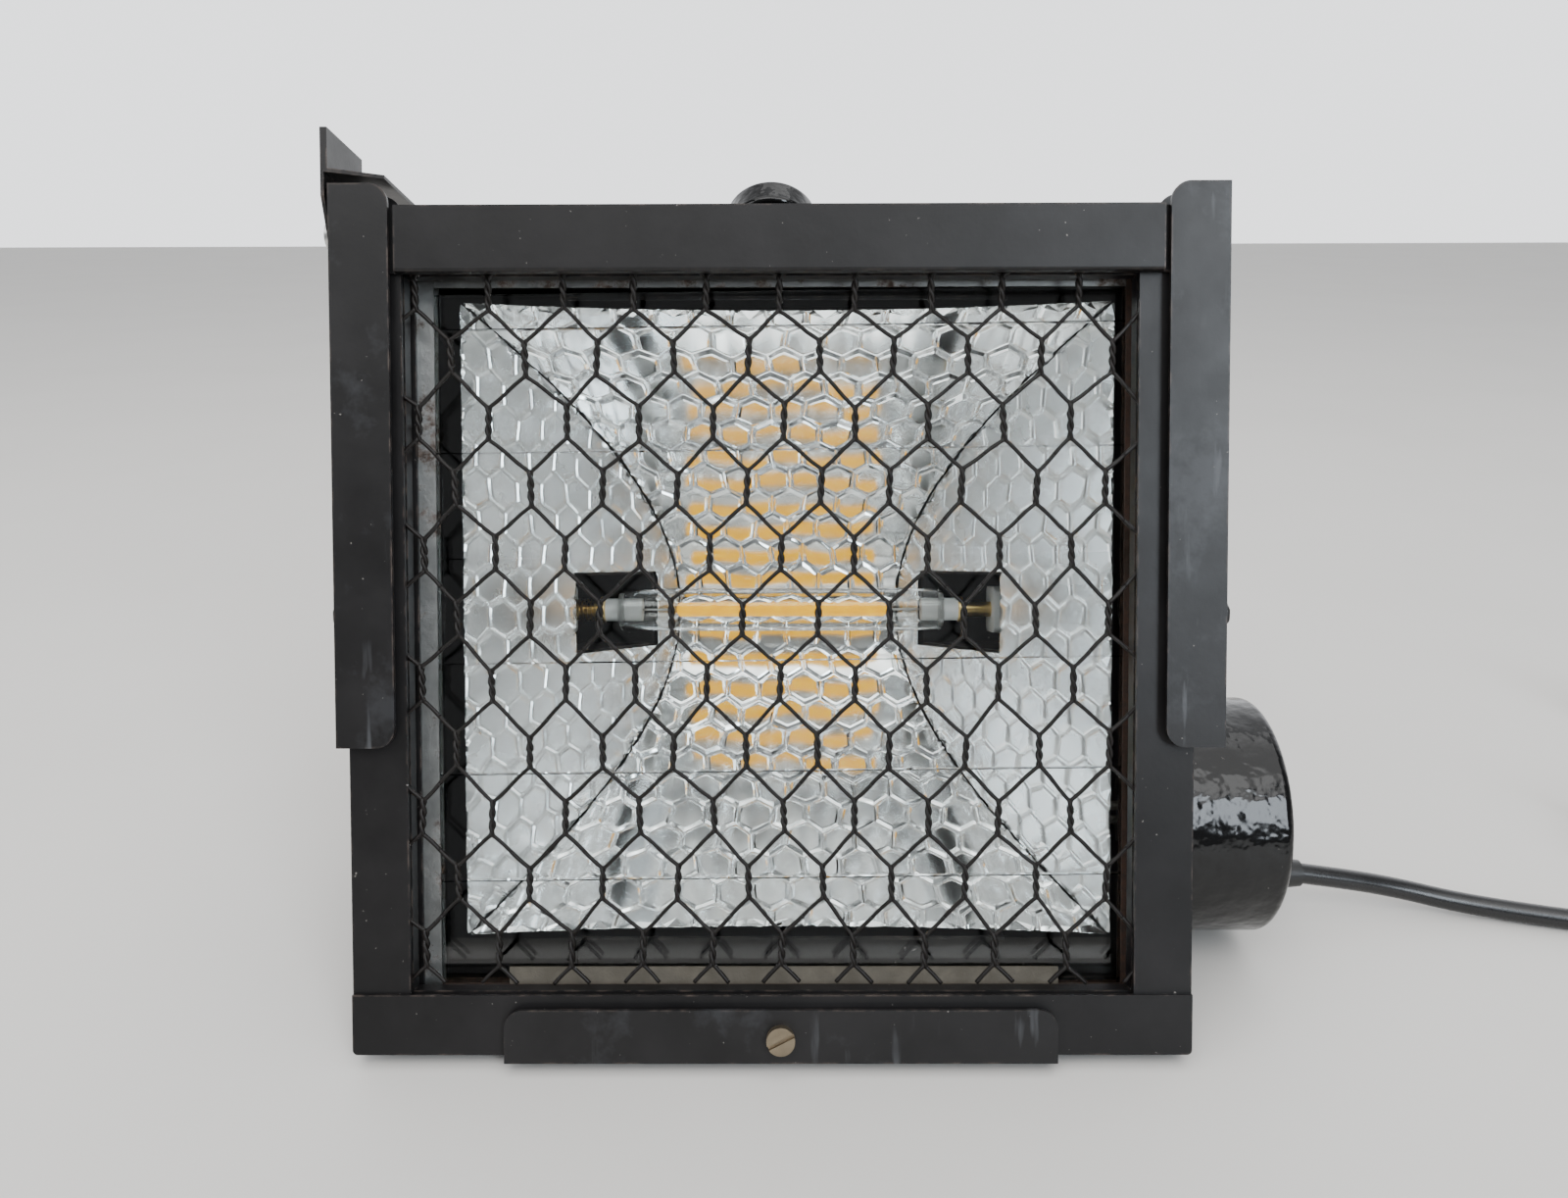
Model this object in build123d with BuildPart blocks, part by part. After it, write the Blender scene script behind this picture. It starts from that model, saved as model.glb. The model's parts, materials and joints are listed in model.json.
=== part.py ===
from build123d import *
import os
from math import cos, pi, radians, sin, sqrt, tan

os.makedirs("parts", exist_ok=True)

# A small theatre floodlight that stands on its tapered bottom panel, so its face leans back.
# World frame: +X to the right of the lit face, -Y in front of it, +Z up, z = 0 on the table.
# Lamp frame, leaning with the lamp: x to the right, depth into the housing from the front
# skin of the guard frame, height up along the face from the middle of the guard frame.

# Driving dimensions, in mm and degrees
lean = 18.2               # lean of the face behind the vertical
sheet = 1.0               # body sheet steel

guard_size = 222.0        # square guard frame
guard_depth = 8.0
guard_shift = -2.4        # the frame sits to the left in its runners
side_bar = 15.25
top_bar = 17.0
bottom_bar = 16.0
handle_fold = 2.0         # doubled fold on the top bar
handle_half = 99.1
mesh_pitch = 19.07        # between twists in one row
mesh_row = 17.33          # between rows
mesh_start = 3.0          # the netting's pattern is not centred in the frame
mesh_lift = 4.0
mesh_twist = 9.4          # length of a twist
wire = 1.1

clip_length = 145.4       # runners and lip
clip_sheet = 1.2
runner_flange = 15.3
lip_flange = 14.2
runner_out = 115.6        # outer faces of the runners
runner_top = 116.4
lip_bottom = -112.25
clip_front = -2.5         # depth of the front flange's face
clip_back = 9.7
screw_rise = 6.6          # lip screw above the lip's bottom
screw_head_radius = 3.75
screw_head = 2.2

body_half = 108.0         # outer faces of the side panels
body_top = 108.3
body_back = 118.0
opening_half = 97.4
opening_low = -98.5
opening_high = 95.0

glass_half = 96.5
glass_front = 12.0
glass_thick = 3.0
glass_low = -97.4
strip_heights = [29.3, 29.3, 30.3, 28.6, 28.6, 33.2, 9.4]
strip_gap = 0.25
strip_skew = 0.6          # the strips sit slightly out of level

focal = 22.0              # focal length of the trough's parabola
vertex_depth = 103.0
mouth_depth = 17.0
reflector_x = 2.0
reflector_height = 3.0
reflector_back_half = 38.3
reflector_flare = 0.59    # widening of the end plates per mm towards the mouth
reflector_sheet = 0.6
cutout_front = 55.7
cutout_back = 91.8
cutout_half = 12.6

lamp_depth = vertex_depth - focal
lamp_height = reflector_height + 0.4
tube_radius = 7.1
tube_left = -53.6
tube_right = 53.2
cap_reach = 58.0

box_radius = 35.0         # round terminal box
box_depth = 51.5
box_height = -57.8
box_end = 143.0
lid_thick = 4.0

pivot_depth = 50.0
pivot_height = 5.0
pivot_radius = 4.0        # M8 stud
running_gap = 0.08
yoke_rise = 38.4          # rise of the yoke's arms above the table's plane
yoke_reach = 150.0        # pivot to the middle of the crossbar
yoke_width = 20.0
yoke_bar = 3.0
arm_inner = 109.5
knob_end = 130.5
bolt_radius = 5.0         # M10 suspension bolt
bolt_shift = -4.0         # the bolt stands left of the middle of the crossbar
nut_near = 165.0          # inner face of the hand nut, from the pivot
nut_radius = 17.2
nut_round = 2.0

latch_sheet = 0.9
latch_front = -2.3
latch_back = 22.0
latch_top = 130.7
latch_hinge_depth = 6.0
latch_hinge_height = 105.0

cord_diameter = 6.5
coil_radius = 35.0        # middle of the coil's turns
coil_columns = 3

# Placing: the lip's rear edge and the bottom panel stand on z = 0
slope = tan(radians(lean))
side_reach = box_end + 2.0
face_x = (knob_end - side_reach) / 2
face_z = -lip_bottom * cos(radians(lean)) + clip_back * sin(radians(lean))
screw_low = lip_bottom + screw_rise - screw_head_radius
front_reach = (clip_front - screw_head) * cos(radians(lean)) + screw_low * sin(radians(lean))
nut_far = nut_near + 14.0
bolt_far = nut_far + 5.0
pivot_y = pivot_depth * cos(radians(lean)) + pivot_height * sin(radians(lean))
nut_y = (nut_far - 3.0 - nut_round) * cos(radians(yoke_rise))
nut_y += (nut_radius - nut_round) * sin(radians(yoke_rise)) + nut_round
rear_reach = pivot_y + nut_y
face_y = -(front_reach + rear_reach) / 2

RIGHT = Vector(1, 0, 0)
INWARD = Vector(0, cos(radians(lean)), -sin(radians(lean)))
UPWARD = Vector(0, sin(radians(lean)), cos(radians(lean)))
ARM = Vector(0, cos(radians(yoke_rise)), sin(radians(yoke_rise)))
ACROSS = Vector(0, -sin(radians(yoke_rise)), cos(radians(yoke_rise)))
face_centre = Vector(face_x, face_y, face_z)


def lamp_point(x, depth, height):
    """A point of the leaning lamp frame."""
    return face_centre + RIGHT * x + INWARD * depth + UPWARD * height


def facing(depth, x=0, height=0):
    """Plane parallel to the face: x right, y up the face, z out of the face."""
    return Plane(lamp_point(x, depth, height), x_dir=RIGHT, z_dir=INWARD * -1)


def sideways(x, depth=0, height=0):
    """Plane across the lamp: x into the housing, y up the face, z right."""
    return Plane(lamp_point(x, depth, height), x_dir=INWARD, z_dir=RIGHT)


def level(height, x=0, depth=0):
    """Plane square to the face's up direction: x right, y into the housing, z up."""
    return Plane(lamp_point(x, depth, height), x_dir=RIGHT, z_dir=UPWARD)


pivot_centre = lamp_point(0, pivot_depth, pivot_height)


def yoke_side(x):
    """Plane across the yoke: x along the arm, z right."""
    return Plane(pivot_centre + RIGHT * x, x_dir=ARM, z_dir=RIGHT)


def yoke_face(reach):
    """Plane square to the arms on the bolt's axis, z away from the pivot."""
    return Plane(pivot_centre + RIGHT * bolt_shift + ARM * reach, x_dir=RIGHT, z_dir=ARM)


def bottom_line(depth):
    """Height of the housing's underside, which lies on the table."""
    return lip_bottom + (depth - clip_back) * slope


def top_line(depth):
    """Height of the housing's top panel."""
    return body_top - (depth - clip_back - sheet) * slope


# --- Guard frame: four folded bars, an inner clamp frame and the netting ---

guard_half = guard_size / 2
inner_half = guard_half - side_bar
inner_low = -guard_half + bottom_bar
inner_high = guard_half - top_bar


def side_guard_bar(side):
    """Folded angle: front skin and outer wall, between the top and bottom bars."""
    skin_middle = guard_shift + side * (guard_half - side_bar / 2)
    wall_middle = guard_shift + side * (guard_half - sheet / 2)
    with BuildPart() as bar:
        with BuildSketch(facing(sheet, x=skin_middle)):
            Rectangle(side_bar, guard_size - 2 * sheet)
        extrude(amount=-sheet)
        with BuildSketch(facing(sheet, x=wall_middle)):
            Rectangle(sheet, guard_size - 2 * sheet)
        extrude(amount=-(guard_depth - sheet))
    return bar


guard_bar_left = side_guard_bar(-1)
guard_bar_left.part.label = "guard_bar_left"
export_step(guard_bar_left.part, "parts/guard_bar_left.step")

guard_bar_right = side_guard_bar(1)
guard_bar_right.part.label = "guard_bar_right"
export_step(guard_bar_right.part, "parts/guard_bar_right.step")

with BuildPart() as guard_bar_top:
    with BuildSketch(facing(0, x=guard_shift, height=guard_half - top_bar / 2)):
        Rectangle(guard_size, top_bar)
    extrude(amount=-sheet)
    with BuildSketch(facing(0, x=guard_shift, height=guard_half - sheet / 2)):
        Rectangle(guard_size, sheet)
    extrude(amount=-guard_depth)
    with BuildSketch(facing(0, height=guard_half - top_bar / 2)):
        Rectangle(2 * handle_half, top_bar)
    extrude(amount=handle_fold)
    fold_edges = guard_bar_top.edges().filter_by(Axis.X).group_by(Axis.Y)[0]
    fillet(fold_edges, radius=0.9)
guard_bar_top.part.label = "guard_bar_top"
export_step(guard_bar_top.part, "parts/guard_bar_top.step")

with BuildPart() as guard_bar_bottom:
    with BuildSketch(facing(0, x=guard_shift, height=-guard_half + bottom_bar / 2)):
        Rectangle(guard_size, bottom_bar)
        fillet(vertices().group_by(Axis.Y)[0], radius=1.3)
    extrude(amount=-sheet)
    with BuildSketch(facing(sheet, x=guard_shift, height=-guard_half + sheet / 2)):
        Rectangle(guard_size - 2.6, sheet)
    extrude(amount=-(guard_depth - sheet))
guard_bar_bottom.part.label = "guard_bar_bottom"
export_step(guard_bar_bottom.part, "parts/guard_bar_bottom.step")

clamp_front = sheet * 2 + wire + 0.3
clamp_middle = (inner_high + inner_low) / 2
clamp_tall = inner_high - inner_low
with BuildPart() as mesh_clamp_frame:
    with BuildSketch(facing(clamp_front, x=guard_shift)):
        Rectangle(guard_size - 2 * sheet - 0.4, guard_size - 2 * sheet - 0.4)
        with Locations((0, clamp_middle)):
            Rectangle(2 * inner_half, clamp_tall, mode=Mode.SUBTRACT)
    extrude(amount=-sheet)
    with BuildSketch(facing(clamp_front, x=guard_shift, height=clamp_middle)):
        Rectangle(2 * (inner_half + sheet), clamp_tall + 2 * sheet)
        Rectangle(2 * inner_half, clamp_tall, mode=Mode.SUBTRACT)
    extrude(amount=-(guard_depth - clamp_front))
mesh_clamp_frame.part.label = "mesh_clamp_frame"
export_step(mesh_clamp_frame.part, "parts/mesh_clamp_frame.step")

# Hexagonal netting: a sheet of wire thickness with hexagonal holes and a plain border
mesh_wide = 2 * inner_half + 12
mesh_tall = clamp_tall + 12
rise = mesh_row - mesh_twist
mesh_plane = facing(sheet * 2 + 0.15, x=guard_shift, height=clamp_middle)
with BuildPart() as wire_mesh:
    with BuildSketch(mesh_plane):
        Rectangle(mesh_wide, mesh_tall)
        for row in range(-6, 7):
            start = mesh_start + (mesh_pitch / 2 if row % 2 else 0)
            for column in range(-6, 7):
                reach_x = mesh_pitch / 2 - wire
                tall = mesh_twist / 2
                with Locations((column * mesh_pitch + start, row * mesh_row + mesh_lift)):
                    Polygon(
                        (reach_x, -tall + 0.3),
                        (reach_x, tall - 0.3),
                        (0, tall + rise - 0.9),
                        (-reach_x, tall - 0.3),
                        (-reach_x, -tall + 0.3),
                        (0, -tall - rise + 0.9),
                        align=None,
                        mode=Mode.SUBTRACT,
                    )
    extrude(amount=-wire)
    with BuildSketch(mesh_plane):
        Rectangle(mesh_wide, mesh_tall)
        Rectangle(mesh_wide - 6, mesh_tall - 6, mode=Mode.SUBTRACT)
    extrude(amount=-wire)
wire_mesh.part.label = "wire_mesh"
export_step(wire_mesh.part, "parts/wire_mesh.step")

# --- Runners and lip: one folded clip, used three times ---


def clip(plane, flange):
    """Channel: x along its length, y from the web to the flange edge, z forward of its back."""
    reach = clip_back - clip_front
    with BuildPart() as channel:
        with BuildSketch(plane):
            Rectangle(clip_length, flange, align=(Align.CENTER, Align.MIN))
            fillet(vertices().group_by(Axis.Y)[-1], radius=5.0)
        extrude(amount=clip_sheet)
        with BuildSketch(plane.offset(reach - clip_sheet)):
            Rectangle(clip_length, flange, align=(Align.CENTER, Align.MIN))
            fillet(vertices().group_by(Axis.Y)[-1], radius=5.0)
        extrude(amount=clip_sheet)
        with BuildSketch(plane):
            Rectangle(clip_length, clip_sheet, align=(Align.CENTER, Align.MIN))
        extrude(amount=reach)
    return channel


def clip_plane(x, height, along):
    """Back plane of a clip, with its x along the given direction."""
    return Plane(lamp_point(x, clip_back, height), x_dir=along, z_dir=INWARD * -1)


runner_middle = runner_top - clip_length / 2
runner_left = clip(clip_plane(-runner_out, runner_middle, UPWARD * -1), runner_flange)
with BuildPart() as latch_hole:
    with BuildSketch(sideways(-runner_out - 1, latch_hinge_depth, latch_hinge_height)):
        Circle(2.05)
    extrude(amount=clip_sheet + 2)
with runner_left:
    add(latch_hole.part, mode=Mode.SUBTRACT)
runner_left.part.label = "runner_left"
export_step(runner_left.part, "parts/runner_left.step")

runner_right = clip(clip_plane(runner_out, runner_middle, UPWARD), runner_flange)
runner_right.part.label = "runner_right"
export_step(runner_right.part, "parts/runner_right.step")

screw_height = lip_bottom + screw_rise
bottom_lip = clip(clip_plane(0, lip_bottom, RIGHT), lip_flange)
with BuildPart() as lip_hole:
    with BuildSketch(facing(clip_front - 1, height=screw_height)):
        Circle(2.0)
    extrude(amount=-(clip_sheet + 2))
with bottom_lip:
    add(lip_hole.part, mode=Mode.SUBTRACT)
bottom_lip.part.label = "bottom_lip"
export_step(bottom_lip.part, "parts/bottom_lip.step")

# Slotted cheese-head screw through the lip; its tip stops just short of the guard frame
with BuildPart() as lip_screw:
    with BuildSketch(facing(clip_front, height=screw_height)):
        Circle(screw_head_radius)
    extrude(amount=screw_head)
    with BuildSketch(facing(clip_front, height=screw_height)):
        Circle(2.0)
    extrude(amount=clip_front + 0.15)
    with BuildSketch(facing(clip_front - 1.3, height=screw_height)):
        Rectangle(9, 1.1, rotation=27)
    extrude(amount=1.5, mode=Mode.SUBTRACT)
lip_screw.part.label = "lip_screw"
export_step(lip_screw.part, "parts/lip_screw.step")

# --- Latch: a strip hemmed over at the top, with a flap over the slot of the left runner ---

latch_out = -runner_out - 2 * latch_sheet
with BuildPart() as latch_plate:
    with BuildSketch(sideways(latch_out)):
        with BuildLine():
            Polyline(
                (latch_front, 113.4),
                (latch_front, latch_top),
                (latch_back, latch_top),
                (latch_back, 113.0),
                (latch_hinge_depth + 5.5, 101.0),
                (latch_hinge_depth + 1.0, 99.5),
                (latch_hinge_depth - 3.0, 101.0),
                close=True,
            )
        make_face()
        with Locations((latch_hinge_depth, latch_hinge_height)):
            Circle(2.1, mode=Mode.SUBTRACT)
    extrude(amount=latch_sheet)
    with BuildSketch(facing(latch_front)):
        with BuildLine():
            Polyline(
                (latch_out + latch_sheet, latch_top),
                (latch_out + 2 * latch_sheet, latch_top),
                (latch_out + 2 * latch_sheet, 120.3),
                (-101.0, 118.4),
                (-101.0, 117.5),
                (latch_out + latch_sheet, 119.4),
                close=True,
            )
        make_face()
    extrude(amount=latch_front - latch_back)
latch_plate.part.label = "latch_plate"
export_step(latch_plate.part, "parts/latch_plate.step")

with BuildPart() as latch_rivet:
    with BuildSketch(sideways(-runner_out + clip_sheet, latch_hinge_depth, latch_hinge_height)):
        Circle(2.05)
    extrude(amount=-(clip_sheet + 2 * latch_sheet + 0.1))
    with BuildSketch(sideways(-runner_out, latch_hinge_depth, latch_hinge_height)):
        Circle(3.5)
    extrude(amount=-(latch_sheet - 0.1))
    with BuildSketch(sideways(latch_out - 0.1, latch_hinge_depth, latch_hinge_height)):
        Circle(3.6)
    extrude(amount=-1.1)
latch_rivet.part.label = "latch_rivet"
export_step(latch_rivet.part, "parts/latch_rivet.step")

# --- Housing: collar, side panels and one sheet wrapped over top, back and bottom ---

with BuildPart() as front_collar:
    with BuildSketch(facing(clip_back)):
        with Locations((0, (body_top + bottom_line(clip_back)) / 2)):
            Rectangle(2 * body_half, body_top - bottom_line(clip_back) - 0.6)
        with Locations((0, (opening_high + opening_low) / 2)):
            Rectangle(2 * opening_half, opening_high - opening_low, mode=Mode.SUBTRACT)
    extrude(amount=-sheet)
front_collar.part.label = "front_collar"
export_step(front_collar.part, "parts/front_collar.step")

body_front = clip_back + sheet
body_corner = 7.0


def side_outline(front, back, inset):
    """Corners of the side profile, each line moved in by the inset."""
    lift = inset / cos(radians(lean))
    return [
        (front, bottom_line(front) + lift),
        (back, bottom_line(back) + lift),
        (back, top_line(back) - lift),
        (front, top_line(front) - lift),
    ]


nipple_radius = 8.0
with BuildPart() as side_panel_left:
    with BuildSketch(sideways(-body_half)):
        with BuildLine():
            Polyline(*side_outline(body_front, body_back, 0), close=True)
        make_face()
        fillet(vertices().group_by(Axis.X)[-1], radius=body_corner)
        with Locations((pivot_depth, pivot_height)):
            Circle(pivot_radius, mode=Mode.SUBTRACT)
    extrude(amount=sheet)
side_panel_left.part.label = "side_panel_left"
export_step(side_panel_left.part, "parts/side_panel_left.step")

with BuildPart() as side_panel_right:
    with BuildSketch(sideways(body_half - sheet)):
        with BuildLine():
            Polyline(*side_outline(body_front, body_back, 0), close=True)
        make_face()
        fillet(vertices().group_by(Axis.X)[-1], radius=body_corner)
        with Locations((pivot_depth, pivot_height)):
            Circle(pivot_radius, mode=Mode.SUBTRACT)
        with Locations((box_depth, box_height)):
            Circle(nipple_radius, mode=Mode.SUBTRACT)
    extrude(amount=sheet)
side_panel_right.part.label = "side_panel_right"
export_step(side_panel_right.part, "parts/side_panel_right.step")

wrap_half = body_half - sheet
vent_slot = (34.0, 4.0)
vent_depths = [58.0, 68.0, 78.0]
with BuildPart() as housing_wrap:
    with BuildSketch(sideways(-wrap_half)):
        with BuildLine():
            Polyline(*side_outline(body_front, body_back, 0), close=True)
        make_face()
        fillet(vertices().group_by(Axis.X)[-1], radius=body_corner)
    extrude(amount=2 * wrap_half)
    with BuildSketch(sideways(-wrap_half)):
        with BuildLine():
            Polyline(*side_outline(body_front, body_back - sheet, sheet), close=True)
        make_face()
        fillet(vertices().group_by(Axis.X)[-1], radius=body_corner - sheet)
    extrude(amount=2 * wrap_half, mode=Mode.SUBTRACT)
    for slot_depth in vent_depths:
        with BuildSketch(level(-130, depth=slot_depth)):
            with GridLocations(2 * vent_slot[0] + 12, 0, 2, 1):
                Rectangle(2 * vent_slot[0], vent_slot[1])
        extrude(amount=260, mode=Mode.SUBTRACT)
housing_wrap.part.label = "housing_wrap"
export_step(housing_wrap.part, "parts/housing_wrap.step")

# Vent cover: a shallow sheet hat standing on its two side flanges over the top slots
cover_middle = 68.0
cover_lift = 7.0
cover_half = 82.0
roof = Plane(
    lamp_point(0, cover_middle, top_line(cover_middle)),
    x_dir=RIGHT,
    z_dir=UPWARD * cos(radians(lean)) + INWARD * sin(radians(lean)),
)
with BuildPart() as vent_cover:
    with BuildSketch(roof.offset(cover_lift)):
        RectangleRounded(2 * cover_half, 56, 3)
    extrude(amount=sheet)
    with BuildSketch(roof):
        with GridLocations(2 * cover_half - sheet, 0, 2, 1):
            Rectangle(sheet, 50)
    extrude(amount=cover_lift + sheet / 2)
    with BuildSketch(roof):
        with GridLocations(2 * cover_half - 8, 0, 2, 1):
            Rectangle(8, 50)
    extrude(amount=sheet)
vent_cover.part.label = "vent_cover"
export_step(vent_cover.part, "parts/vent_cover.step")

# --- Glass channels, rails and the stack of strips ---

channel_front = body_front + 0.1
channel_deep = 5.2
channel_sheet = 0.8
channel_low = -107.0
channel_high = 97.0
channel_tall = channel_high - channel_low
channel_lip = 5.6


def glass_channel(side):
    """Folded channel that holds the ends of the glass strips."""
    outer = side * (glass_half + 1.9)
    middle = side * (glass_half + 1.9 - channel_lip / 2)
    web = outer - side * channel_sheet / 2
    centre = (channel_low + channel_high) / 2
    with BuildPart() as channel:
        with BuildSketch(facing(channel_front, x=middle, height=centre)):
            Rectangle(channel_lip, channel_tall)
        extrude(amount=-channel_sheet)
        with BuildSketch(facing(channel_front + channel_deep, x=middle, height=centre)):
            Rectangle(channel_lip, channel_tall)
        extrude(amount=channel_sheet)
        with BuildSketch(facing(channel_front, x=web, height=centre)):
            Rectangle(channel_sheet, channel_tall)
        extrude(amount=-channel_deep)
    return channel


glass_channel_left = glass_channel(-1)
glass_channel_left.part.label = "glass_channel_left"
export_step(glass_channel_left.part, "parts/glass_channel_left.step")

glass_channel_right = glass_channel(1)
glass_channel_right.part.label = "glass_channel_right"
export_step(glass_channel_right.part, "parts/glass_channel_right.step")

rail_half = glass_half + 1.9 - channel_lip - 0.1
with BuildPart() as glass_rail_top:
    with BuildSketch(facing(channel_front, height=92.9)):
        Rectangle(2 * rail_half, 6.1, align=(Align.CENTER, Align.MIN))
    extrude(amount=-channel_sheet)
    with BuildSketch(facing(channel_front, height=98.2)):
        Rectangle(2 * rail_half, channel_sheet, align=(Align.CENTER, Align.MIN))
    extrude(amount=-channel_deep)
glass_rail_top.part.label = "glass_rail_top"
export_step(glass_rail_top.part, "parts/glass_rail_top.step")

rail_base = glass_low - channel_sheet - 1.0
with BuildPart() as glass_rail_bottom:
    with BuildSketch(facing(channel_front, height=rail_base)):
        Rectangle(2 * rail_half, 3.2, align=(Align.CENTER, Align.MIN))
    extrude(amount=-channel_sheet)
    with BuildSketch(facing(channel_front, height=rail_base)):
        Rectangle(2 * rail_half, channel_sheet, align=(Align.CENTER, Align.MIN))
    extrude(amount=-channel_deep)
    with BuildSketch(facing(channel_front + channel_deep, height=rail_base)):
        Rectangle(2 * rail_half, 3.6, align=(Align.CENTER, Align.MIN))
    extrude(amount=channel_sheet)
glass_rail_bottom.part.label = "glass_rail_bottom"
export_step(glass_rail_bottom.part, "parts/glass_rail_bottom.step")

with BuildPart() as glass_rest_strip:
    with BuildSketch(facing(channel_front, x=0.7, height=rail_base + 3.2)):
        Rectangle(150, 4.6, align=(Align.CENTER, Align.MIN))
    extrude(amount=-channel_sheet)
glass_rest_strip.part.label = "glass_rest_strip"
export_step(glass_rest_strip.part, "parts/glass_rest_strip.step")

# Seven plain glass strips, one on top of the other, slightly out of level
with BuildPart() as glass_strips:
    strip_low = glass_low + glass_half * sin(radians(strip_skew))
    for strip_height in strip_heights:
        strip_middle = strip_low + strip_height / 2
        with BuildSketch(facing(glass_front, height=strip_middle)):
            Rectangle(2 * glass_half - 1.2, strip_height - strip_gap, rotation=strip_skew)
        extrude(amount=-glass_thick)
        strip_low += strip_height
glass_strips.part.label = "glass_strips"
export_step(glass_strips.part, "parts/glass_strips.step")

# --- Reflector: parabolic trough, two slanting end plates, brackets ---

mouth_half = sqrt(4 * focal * (vertex_depth - mouth_depth))


def parabola(grow):
    """Control points of the trough's parabola, grown outwards."""
    back = vertex_depth + grow
    half = mouth_half + grow
    return [
        (mouth_depth, reflector_height + half),
        (2 * back - mouth_depth, reflector_height),
        (mouth_depth, reflector_height - half),
    ]


def end_x(side, depth, grow=0):
    """Where an end plate's inner face stands at a depth, grown outwards."""
    reach = reflector_back_half + reflector_flare * (vertex_depth - depth)
    return reflector_x + side * (reach + grow)


trough_outer = parabola(reflector_sheet)
trough_inner = parabola(0)
trough_near = mouth_depth - 1
trough_far = vertex_depth + 2
with BuildPart() as reflector_trough:
    with BuildSketch(sideways(-110)):
        with BuildLine():
            Bezier(*trough_outer)
            Line(trough_outer[2], trough_inner[2])
            Bezier(*trough_inner)
            Line(trough_inner[0], trough_outer[0])
        make_face()
    extrude(amount=220)
    with BuildSketch(level(-100)):
        with BuildLine():
            Polyline(
                (end_x(-1, trough_near), trough_near),
                (end_x(1, trough_near), trough_near),
                (end_x(1, trough_far), trough_far),
                (end_x(-1, trough_far), trough_far),
                close=True,
            )
        make_face()
    extrude(amount=200, mode=Mode.INTERSECT)
reflector_trough.part.label = "reflector_trough"
export_step(reflector_trough.part, "parts/reflector_trough.step")


def reflector_end(side):
    """Flat end plate, cut to the parabola, with the opening for the lampholder."""
    with BuildPart() as plate:
        with BuildSketch(sideways(reflector_x)):
            with BuildLine():
                Bezier(*trough_inner)
                Line(trough_inner[2], trough_inner[0])
            make_face()
            with Locations(((cutout_front + cutout_back) / 2, lamp_height)):
                Rectangle(cutout_back - cutout_front, 2 * cutout_half, mode=Mode.SUBTRACT)
        extrude(amount=side * 110)
        with BuildSketch(level(-100)):
            with BuildLine():
                Polyline(
                    (end_x(side, mouth_depth), mouth_depth),
                    (end_x(side, mouth_depth, reflector_sheet), mouth_depth),
                    (end_x(side, vertex_depth, reflector_sheet), vertex_depth),
                    (end_x(side, vertex_depth), vertex_depth),
                    close=True,
                )
            make_face()
        extrude(amount=200, mode=Mode.INTERSECT)
    return plate


reflector_end_left = reflector_end(-1)
reflector_end_left.part.label = "reflector_end_left"
export_step(reflector_end_left.part, "parts/reflector_end_left.step")

reflector_end_right = reflector_end(1)
reflector_end_right.part.label = "reflector_end_right"
export_step(reflector_end_right.part, "parts/reflector_end_right.step")

# Z-shaped brackets between the trough's lips and the housing wrap
with BuildPart() as reflector_brackets:
    for side in (-1, 1):
        lip_height = reflector_height + side * (mouth_half + reflector_sheet)
        with BuildSketch(facing(mouth_depth, x=reflector_x, height=lip_height)):
            Rectangle(120, 1.0, align=(Align.CENTER, Align.MIN if side > 0 else Align.MAX))
        extrude(amount=-9)
        foot = 11.0 if side > 0 else 14.5
        with BuildSketch(facing(mouth_depth + 9, x=reflector_x, height=lip_height)):
            Rectangle(120, foot, align=(Align.CENTER, Align.MIN if side > 0 else Align.MAX))
        extrude(amount=1.0)
reflector_brackets.part.label = "reflector_brackets"
export_step(reflector_brackets.part, "parts/reflector_brackets.step")

# --- Lampholders and lamp ---

holder_wall = 0.8
holder_out = 82.0


def holder_box(side):
    """Sheet box behind an end plate's opening, open towards the lamp."""
    with BuildPart() as box:
        for grow, mode in ((0, Mode.ADD), (-holder_wall, Mode.SUBTRACT)):
            near = cutout_front - grow
            far = cutout_back + grow
            back = side * (holder_out + grow)
            lift = 0 if mode == Mode.ADD else -5
            with BuildSketch(level(lamp_height - cutout_half - grow)):
                with BuildLine():
                    Polyline(
                        (end_x(side, near, reflector_sheet + lift), near),
                        (end_x(side, far, reflector_sheet + lift), far),
                        (back, far),
                        (back, near),
                        close=True,
                    )
                make_face()
            extrude(amount=2 * (cutout_half + grow), mode=mode)
    return box


lampholder_box_left = holder_box(-1)
lampholder_box_left.part.label = "lampholder_box_left"
export_step(lampholder_box_left.part, "parts/lampholder_box_left.step")

lampholder_box_right = holder_box(1)
lampholder_box_right.part.label = "lampholder_box_right"
export_step(lampholder_box_right.part, "parts/lampholder_box_right.step")

block_out = holder_out - holder_wall
block_in = 69.0
with BuildPart() as socket_block_left:
    with BuildSketch(sideways(-block_out, lamp_depth, lamp_height)):
        RectangleRounded(15, 15, 2)
    extrude(amount=block_out - block_in)
    with BuildSketch(sideways(-block_in, lamp_depth, lamp_height)):
        Circle(2.6)
    extrude(amount=-8.5, mode=Mode.SUBTRACT)
socket_block_left.part.label = "socket_block_left"
export_step(socket_block_left.part, "parts/socket_block_left.step")

with BuildPart() as socket_block_right:
    with BuildSketch(sideways(block_out, lamp_depth, lamp_height)):
        RectangleRounded(15, 15, 2)
    extrude(amount=block_in - block_out)
    with BuildSketch(sideways(block_in, lamp_depth, lamp_height)):
        Circle(2.5)
    extrude(amount=6, mode=Mode.SUBTRACT)
socket_block_right.part.label = "socket_block_right"
export_step(socket_block_right.part, "parts/socket_block_right.step")

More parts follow.
